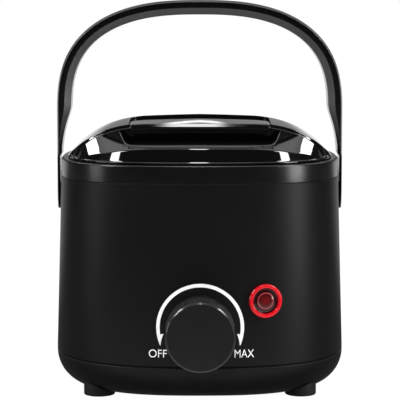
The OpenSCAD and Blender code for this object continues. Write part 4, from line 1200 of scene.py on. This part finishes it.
# %% Handle stations
strap_lo, strap_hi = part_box("carry_handle")
HANDLE_HALF = strap_hi.x
STRAP_R = (strap_hi.y - strap_lo.y) / 2
STRAP_FULL = 7.6 * MM
ARM_T = 1.6 * MM
ARM_GAP = 0.3 * MM
ARM_SOFT = 1.5 * MM
ARCH_H = 57.7 * MM
ARCH_FOOT = strap_hi.z - ARCH_H
ARCH_POWER = 2.55
ARCH_CROWDING = 1.25
END_STATIONS, ARM_STATIONS, ARCH_STATIONS = 12, 30, 60
END_REACH = STRAP_R * 0.995
INWARD = (-1, 0)


def strap_depth(z):
    """Thickness of the strap at a height, thin where it has to pass the body as it folds."""
    if z <= RIM:
        return ARM_T
    swing = math.sqrt(max(0, (z - PIVOT_H) ** 2 - (RIM - PIVOT_H) ** 2))
    room = HANDLE_HALF - plan_reach(body_half(RIM), swing) - ARM_GAP
    return soft_min(STRAP_FULL, max(ARM_T, room), ARM_SOFT)


def strap_stations():
    """Stations up one arm and over half the arch: (x, z, inward direction, depth, half width)."""
    for k in range(1, END_STATIONS + 1):
        a = math.pi / 2 * (1 - k / END_STATIONS)
        yield HANDLE_HALF, PIVOT_H - END_REACH * math.sin(a), INWARD, ARM_T, STRAP_R * math.cos(a)
    for k in range(1, ARM_STATIONS + 1):
        z = PIVOT_H + (ARCH_FOOT - PIVOT_H) * k / ARM_STATIONS
        yield HANDLE_HALF, z, INWARD, strap_depth(z), STRAP_R
    for k in range(1, ARCH_STATIONS + 1):
        t = math.pi / 2 * (k / ARCH_STATIONS) ** ARCH_CROWDING
        x = HANDLE_HALF * max(math.cos(t), 0) ** (2 / ARCH_POWER)
        z = ARCH_FOOT + ARCH_H * math.sin(t) ** (2 / ARCH_POWER)
        across = (x / HANDLE_HALF) ** (ARCH_POWER - 1) / HANDLE_HALF
        up = ((z - ARCH_FOOT) / ARCH_H) ** (ARCH_POWER - 1) / ARCH_H
        yield x, z, Vector((-across, -up)).normalized(), strap_depth(z), STRAP_R


half_strap = list(strap_stations())
print("stations on half of the handle:", len(half_strap))

# %% [markdown]
# The strap's section has a flat outer face with rounded edges and a bevel along each inner edge,
# widest on the arms. It is drawn anew at each station and lofted, and the other half of the handle
# is the same run of stations turned about. The pivot pins are plain bars that start in the arms.

# %% Handle
STRAP_EDGE = 4.2 * MM
STRAP_BEVEL = 1.5 * MM
STRAP_CROWN = 0.9 * MM
STRAP_SOFT = 0.6 * MM
ARM_BEVEL = 1.3 * MM
PIN_GAP = 0.05 * MM


def strap_section(depth, half, upright):
    """Closed outline of the strap as (depth inwards, place across) points, bevelled most on its arms."""
    edge = depth * STRAP_EDGE / STRAP_FULL
    bevel = min(STRAP_BEVEL + upright ** 3 * ARM_BEVEL, half / 2)
    crown = min(STRAP_CROWN, depth / 3)
    soft = min(STRAP_SOFT, edge / 4, half / 4)
    return rounded([
        (crown, -half, soft), (0, -half / 2, half / 3), (0, half / 2, half / 3), (crown, half, soft),
        (edge, half, soft / 2), (depth, half - bevel, soft / 2), (depth, bevel - half, soft / 2),
        (edge, -half, soft / 2),
    ], closed=True)


def strap_ring(x, z, inward, depth, half, side):
    return [
        Vector((side * (x + inward[0] * p.x), AXIS_Y + p.y, z + inward[1] * p.x))
        for p in strap_section(depth, half, abs(inward[0]))
    ]


strap_rings = [strap_ring(*station, 1) for station in half_strap]
strap_rings += [strap_ring(*station, -1) for station in half_strap[-2::-1]]
strap = loft(strap_rings, capped=True)
washer_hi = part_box("pivot_washers")[1]
for side in (-1, 1):
    pin_end = Vector((side * washer_hi.x, AXIS_Y, PIVOT_H))
    pin_root = Vector((side * (HANDLE_HALF - ARM_T / 2), AXIS_Y, PIVOT_H))
    add(strap, rod(PIN_R - PIN_GAP, pin_end, pin_root))
piece("handle_strap", strap, "carry_handle", "handle_black", ["carry_handle"])

# %% [markdown]
# The knob is turned, with a fine knurl down its side that fades out at the chamfer. A spin could
# not make the knurl, and a bump would not show in the knob's outline, so the knob is a loft of rings
# whose radius ripples. It runs over the face, down the side and back up inside to the hub that holds
# the shaft.

# %% Knob
KNURL_COUNT = 108
KNURL_POINTS = 6
KNURL_DEPTH = 0.32 * MM
KNOB_R = (knob_hi.z - knob_lo.z) / 2
KNOB_LEN = knob_hi.y - knob_lo.y
KNOB_SHARP = 45
CHAMFER = 0.9 * MM
CHAMFER_SOFT = 0.25 * MM
KNURL_START = 2.2 * MM
KNOB_WALL = 2.6 * MM
HOLLOW_R = KNOB_R - KNOB_WALL
HUB_R = 6 * MM
HUB_LEN = 18 * MM
SHAFT_R = 3.05 * MM
FACE_T = 3.5 * MM
SHAFT_STOP = 3.8 * MM
knob_turns = [2 * math.pi * i / (KNURL_COUNT * KNURL_POINTS) for i in range(KNURL_COUNT * KNURL_POINTS)]


def knob_ring(radius, reach, knurl=0.0):
    """Ring of the knob, with its knurl cut to a share of the full depth."""
    ring = []
    for t in knob_turns:
        r = radius - knurl * KNURL_DEPTH * (0.5 - 0.5 * math.cos(KNURL_COUNT * t)) ** 2
        ring.append(Vector((r * math.cos(t), knob_lo.y + reach, KNOB_H + r * math.sin(t))))
    return ring


knob_face = rounded([
    (0, 0, 0), (KNOB_R - CHAMFER, 0, CHAMFER_SOFT), (KNOB_R, CHAMFER, CHAMFER_SOFT),
    (KNOB_R, KNURL_START, 0),
])
knurl_levels = (
    (2.6 * MM, 0.35), (3.2 * MM, 0.8), (4.0 * MM, 1), (KNOB_LEN / 2, 1), (KNOB_LEN - 0.4 * MM, 1))
knob_inside = rounded([
    (KNOB_R - 0.5 * MM, KNOB_LEN, 0), (HOLLOW_R, KNOB_LEN, 0.4 * MM), (HOLLOW_R, FACE_T, 1 * MM),
    (HUB_R, FACE_T, 0.6 * MM), (HUB_R, HUB_LEN, 0.3 * MM), (SHAFT_R, HUB_LEN, 0.2 * MM),
    (SHAFT_R, SHAFT_STOP, 0), (0, SHAFT_STOP, 0),
])
knob_rings = [knob_ring(p.x, p.y) for p in knob_face]
knob_rings += [knob_ring(KNOB_R, reach, share) for reach, share in knurl_levels]
knob_rings += [knob_ring(p.x, p.y) for p in knob_inside]
piece("knob_cap", loft(knob_rings), "knob", "knob_black", ["knob"], sharp_angle=KNOB_SHARP)

# %% [markdown]
# The pilot lamp is a turned red jewel: a rounded ring, a moat inside it and a low dome. Like the
# feet it is a profile that is spun, here round the line on which the lamp faces out of the panel.

# %% Pilot lamp
BARREL_LEN = 2 * MM
LAMP_STEPS = 128
lamp_profile = rounded([
    (0, 2.0 * MM, 0), (0.35 * JEWEL_R, 1.95 * MM, 1.2 * MM), (0.50 * JEWEL_R, 1.6 * MM, 0.3 * MM),
    (0.54 * JEWEL_R, 0.9 * MM, 0.3 * MM), (0.70 * JEWEL_R, 0.8 * MM, 0.5 * MM),
    (0.77 * JEWEL_R, 2.7 * MM, 0.5 * MM), (0.93 * JEWEL_R, 2.7 * MM, 0.7 * MM),
    (JEWEL_R, 1.7 * MM, 0.6 * MM), (JEWEL_R, 0, 0.1 * MM), (LAMP_BARREL_R, 0, 0),
    (LAMP_BARREL_R, -BARREL_LEN, 0), (0, -BARREL_LEN, 0),
], steps=6)
lamp_seat = lamp_centre - LAMP_SINK * lamp_out
jewel = spun(lamp_profile, lamp_seat, lamp_out, LAMP_STEPS)
piece("lamp_jewel", jewel, "housing", "lamp_red", ["lamp_lens"])

# %% [markdown]
# The dial is printed on the panel: a white arc that ends in two arrowheads. A near-black band lies inside the arc.
# Print could be a mask in the panel's material, but its edges would then be only as sharp as the
# texture. So each mark is a slab with hardly any thickness, a grid that is bent into an arc and
# laid on the curved panel.

# %% Dial arc
INK = 0.06 * MM
ARC_LIFT, BAND_LIFT, ARROW_LIFT = 0.02 * MM, 0.01 * MM, 0.03 * MM
ARC_OUT = 21.6 * MM
ARC_IN = 19.9 * MM
BAND_IN = 15 * MM
ARC_RISE = 0.65 * MM
ARC_DROP = math.radians(10)
ARC_STEPS = 120
ARROW_TIP = math.radians(24.8)
ARROW_STEPS = 16
BARB_R = 18.3 * MM
INK_COVER, INK_GRAIN = 900, 2500


def ink(name, colour, roughness):
    """Finish of a flat mark on the panel, slightly uneven in cover: the white printed ink, and the near-black band
    inside the arc.
    """
    finish = Finish(name, {"Specular IOR Level": 0.3})
    cover = finish.noise(INK_COVER, 3)
    finish.set({
        "Base Color": finish.mix(cover, tint(colour, 0.92), tint(colour, 1)),
        "Roughness": roughness + cover * 0.12,
    })
    finish.bump(finish.noise(INK_GRAIN, 2), 0.01 * MM)


def lay_on_panel(bm, lift):
    """Set flat (x, height) geometry on the panel and give it the thickness of ink."""
    for v in bm.verts:
        panel_y = AXIS_Y - plan_reach(body_half(v.co.z), v.co.x)
        v.co = (v.co.x, panel_y - lift, v.co.z)
    grown = bmesh.ops.extrude_face_region(bm, geom=bm.faces[:])["geom"]
    moved = [g for g in grown if isinstance(g, bmesh.types.BMVert)]
    bmesh.ops.translate(bm, vec=(0, -INK, 0), verts=moved)
    bmesh.ops.recalc_face_normals(bm, faces=bm.faces)
    return bm


def arc_band(inner, outer, start, end, steps, inner_end=None):
    """A flat band round the knob's axis, from a grid bent into an arc, which may narrow to its end."""
    bm = bmesh.new()
    bmesh.ops.create_grid(bm, x_segments=steps, y_segments=1, size=0.5)
    narrowing = (inner_end or inner) - inner
    for v in bm.verts:
        share = v.co.x + 0.5
        angle = start + share * (end - start)
        inside = inner + share * narrowing
        radius = inside + (v.co.y + 0.5) * (outer - inside)
        v.co = (radius * math.cos(angle), 0, KNOB_H + ARC_RISE + radius * math.sin(angle))
    return bm


ink("white_ink", (0.93, 0.93, 0.93), 0.45)
# A near-black band inside the white arc, between it and the knob.
ink("near_black_band", (0.0012, 0.0012, 0.0012), 0.55)
arc_ends = (-ARC_DROP, math.pi + ARC_DROP)
arc = lay_on_panel(arc_band(ARC_IN, ARC_OUT, *arc_ends, ARC_STEPS), ARC_LIFT)
piece("dial_arc", arc, "housing", "lead_white", finish="white_ink")
band = lay_on_panel(arc_band(BAND_IN, ARC_IN, *arc_ends, ARC_STEPS), BAND_LIFT)
piece("dial_band", band, "housing", "body_black", finish="near_black_band")
arrows = bmesh.new()
for barb, tip in ((-ARC_DROP, -ARROW_TIP), (math.pi + ARC_DROP, math.pi + ARROW_TIP)):
    add(arrows, arc_band(BARB_R, ARC_OUT, barb, tip, ARROW_STEPS, ARC_OUT - INK))
piece(
    "dial_arrows", lay_on_panel(arrows, ARROW_LIFT), "housing", "lead_white", finish="white_ink")

# %% [markdown]
# OFF and MAX stand at the ends of the arc. A text object gives the letters. It is made a mesh before
# it gets its place, then stretched to the size of the print and laid on the panel like the arc.

# %% Dial words
LETTER_H = 3.9 * MM
LETTER_Z = 26 * MM
LETTER_THINNING = -0.004
for word, middle, width in (("OFF", -20.8 * MM, 8.9 * MM), ("MAX", 21.7 * MM, 9.6 * MM)):
    curve = bpy.data.curves.new(word, "FONT")
    curve.body = word
    curve.offset = LETTER_THINNING
    setting = show(word, curve)
    flat = final_mesh(setting)
    bpy.data.objects.remove(setting)
    letters = bmesh.new()
    letters.from_mesh(flat)
    bpy.data.meshes.remove(flat)
    xs = [v.co.x for v in letters.verts]
    ys = [v.co.y for v in letters.verts]
    for v in letters.verts:
        across = (v.co.x - min(xs)) / (max(xs) - min(xs)) - 0.5
        up = (v.co.y - min(ys)) / (max(ys) - min(ys)) - 0.5
        v.co = (middle + across * width, 0, LETTER_Z + up * LETTER_H)
    words = lay_on_panel(letters, ARC_LIFT)
    piece("dial_" + word.lower(), words, "housing", "lead_white", finish="white_ink")

# %% [markdown]
# A glossy black object is lit by what it mirrors more than by light that falls on it. So each lamp
# is a soft box whose shape shows as a clean patch on the lid: a tall pair beside the front, a wide
# pair at the sides that draws the pale bands on the collar and the body, and a narrow pair behind.
# A wide fill that is not mirrored lights the print. Point lamps would leave only dots.

# %% Soft boxes
AIM = Vector((0, AXIS_Y, 0.12))


def around(azimuth, elevation, distance):
    """A place round the object, at an azimuth from the front towards the right."""
    a, e = math.radians(azimuth), math.radians(elevation)
    return AIM + distance * Vector((math.sin(a) * math.cos(e), -math.cos(a) * math.cos(e), math.sin(e)))


def soft_box(name, place, width, height, radiance, mirrored=True):
    """A flat light of an even brightness that faces the object."""
    light = bpy.data.lights.new(name, "AREA")
    light.shape = "RECTANGLE"
    light.size = width
    light.size_y = height
    light.energy = radiance * math.pi * width * height
    lamp = show(name, light)
    lamp.location = place
    lamp.rotation_euler = (AIM - place).to_track_quat("-Z", "Y").to_euler()
    lamp.visible_glossy = mirrored
    lamp.visible_camera = False


for side, side_turn, side_radiance in ((-1, 77, 2.75), (1, 66, 8.75)):
    soft_box("front_box", around(side * 68, 37, 1.1), width=0.19, height=0.44, radiance=26)
    side_place = around(side * side_turn, 4, 1.3)
    soft_box("side_box", side_place, width=0.40, height=0.45, radiance=side_radiance)
    soft_box("back_box", around(side * 135, 33, 1.2), width=0.085, height=0.22, radiance=14)
soft_box("front_fill", around(0, 30, 1.6), width=1.2, height=0.8, radiance=4.0, mirrored=False)
print("soft boxes:", len(bpy.data.lights))

# %% [markdown]
# The world is white to the camera, and a dim studio to everything else: a pale wall behind, a
# ceiling, and a narrow tube that runs overhead from behind, which draws the streaks down the middle
# of the lid. A panorama picture could hold such a room, but a few soft steps of the direction are
# enough, and each can be moved by itself.

# %% World
DIM = 0.03
WALL_LIGHT, FOOT_LIGHT, CEILING_LIGHT, TOP_LIGHT = 0.3, 0.6, 1.1, 3
WALL, WALL_FOOT = (0.75, 0.97), (-0.01, 0.09)
CEILING, CEILING_FRONT, CEILING_TOP = (0.5, 0.7), (-0.3, 0.3), (0.95, 0.985)
TUBE_SIDE = (0.012, 0.02)
LOW_TUBE_BACK, LOW_TUBE_FROM, LOW_TUBE_TO = (0.5, 0.6), (0.130, 0.136), (0.142, 0.148)
HIGH_TUBE, HIGH_TUBE_FROM, HIGH_TUBE_TO = (0.84, 0.88), (-0.5, -0.42), (0.1, 0.2)
LOW_TUBE_LIGHT, HIGH_TUBE_LIGHT = 2, 20

world = bpy.data.worlds.new("studio")
bpy.context.scene.world = world
world.use_nodes = True
sky = Graph(world.node_tree)
background = world.node_tree.nodes["Background"]
seen = sky.node("LightPath", output="Is Camera Ray")
toward = sky.node("SeparateXYZ", None, {0: sky.node("TexCoord", output="Generated")})
x, y, z = sky.outputs(toward, "X", "Y", "Z")
wall = sky.between(y, *WALL) * (WALL_LIGHT + (1 - sky.between(z, *WALL_FOOT)) * FOOT_LIGHT)
ceiling_light = CEILING_LIGHT + sky.between(z, *CEILING_TOP) * TOP_LIGHT
ceiling = sky.between(z, *CEILING) * sky.between(y, *CEILING_FRONT) * ceiling_light
low_tube = sky.between(y, *LOW_TUBE_BACK) * sky.band(z, LOW_TUBE_FROM, LOW_TUBE_TO)
high_tube = sky.between(z, *HIGH_TUBE) * sky.band(y, HIGH_TUBE_FROM, HIGH_TUBE_TO)
tube = (1 - sky.between(abs(x), *TUBE_SIDE)) * (low_tube * LOW_TUBE_LIGHT + high_tube * HIGH_TUBE_LIGHT)
dim = DIM + wall + ceiling + tube
sky.plug(background.inputs["Color"], (1, 1, 1, 1))
sky.plug(background.inputs["Strength"], dim + seen * (1 - dim))
print("world nodes:", len(world.node_tree.nodes))

# %% [markdown]
# The floor is a sheet of white paper. The camera sees it white, with the object's soft shadow. Seen
# in the object's own polish it is dimmer, as paper is away from the lamps, with a bright stretch far
# behind and one in front, so that the black stays black. A light path node tells the two apart.

# %% Floor
FLOOR_HALF = 6.0
FLOOR_DROP = 0.05 * MM
PAPER_GLOW = 0.92
PAPER_WHITE, PAPER_DIM, FAR_LIGHT, FRONT_LIGHT = 1.06, 0.12, 0.75, 0.85
FAR_SPREAD, FAR_BEHIND = 1.2, (0.0, 0.2)
FRONT_FROM, FRONT_TO, FRONT_SIDE = (0.06, 0.1), (0.2, 0.3), (0.15, 0.3)

sheet = bmesh.new()
bmesh.ops.create_grid(sheet, x_segments=1, y_segments=1, size=FLOOR_HALF)
floor = show("floor", to_mesh("floor", sheet))
floor.location.z = -FLOOR_DROP

paper = Finish("white_paper", {
    "Base Color": (0.86, 0.86, 0.86, 1), "Roughness": 0.9, "Specular IOR Level": 0.1})
seen = paper.node("LightPath", output="Is Camera Ray")
mirrored, through = paper.outputs(seen, "Is Glossy Ray", "Is Transmission Ray")
x, y = paper.outputs(paper.node("SeparateXYZ", None, {0: paper.place}), "X", "Y")
aside, ahead = abs(x), -1 * y
far_behind = paper.between(y - aside * FAR_SPREAD, *FAR_BEHIND)
in_front = paper.band(ahead, FRONT_FROM, FRONT_TO) * (1 - paper.between(aside, *FRONT_SIDE))
mirrored_light = PAPER_DIM + far_behind * FAR_LIGHT + in_front * FRONT_LIGHT
strength = (1 - mirrored) * PAPER_WHITE + mirrored * mirrored_light
glow = paper.node("Emission", None, {"Color": (1, 1, 1, 1), "Strength": strength})
share = (seen + through) * PAPER_GLOW + mirrored
blend = paper.node("MixShader", None, {0: share, 1: Wire(paper, paper.shader.outputs[0]), 2: glow})
paper.plug(paper.tree.nodes["Material Output"].inputs["Surface"], blend)
floor.data.materials.append(FINISHES["white_paper"])
print("floor nodes:", len(paper.tree.nodes))
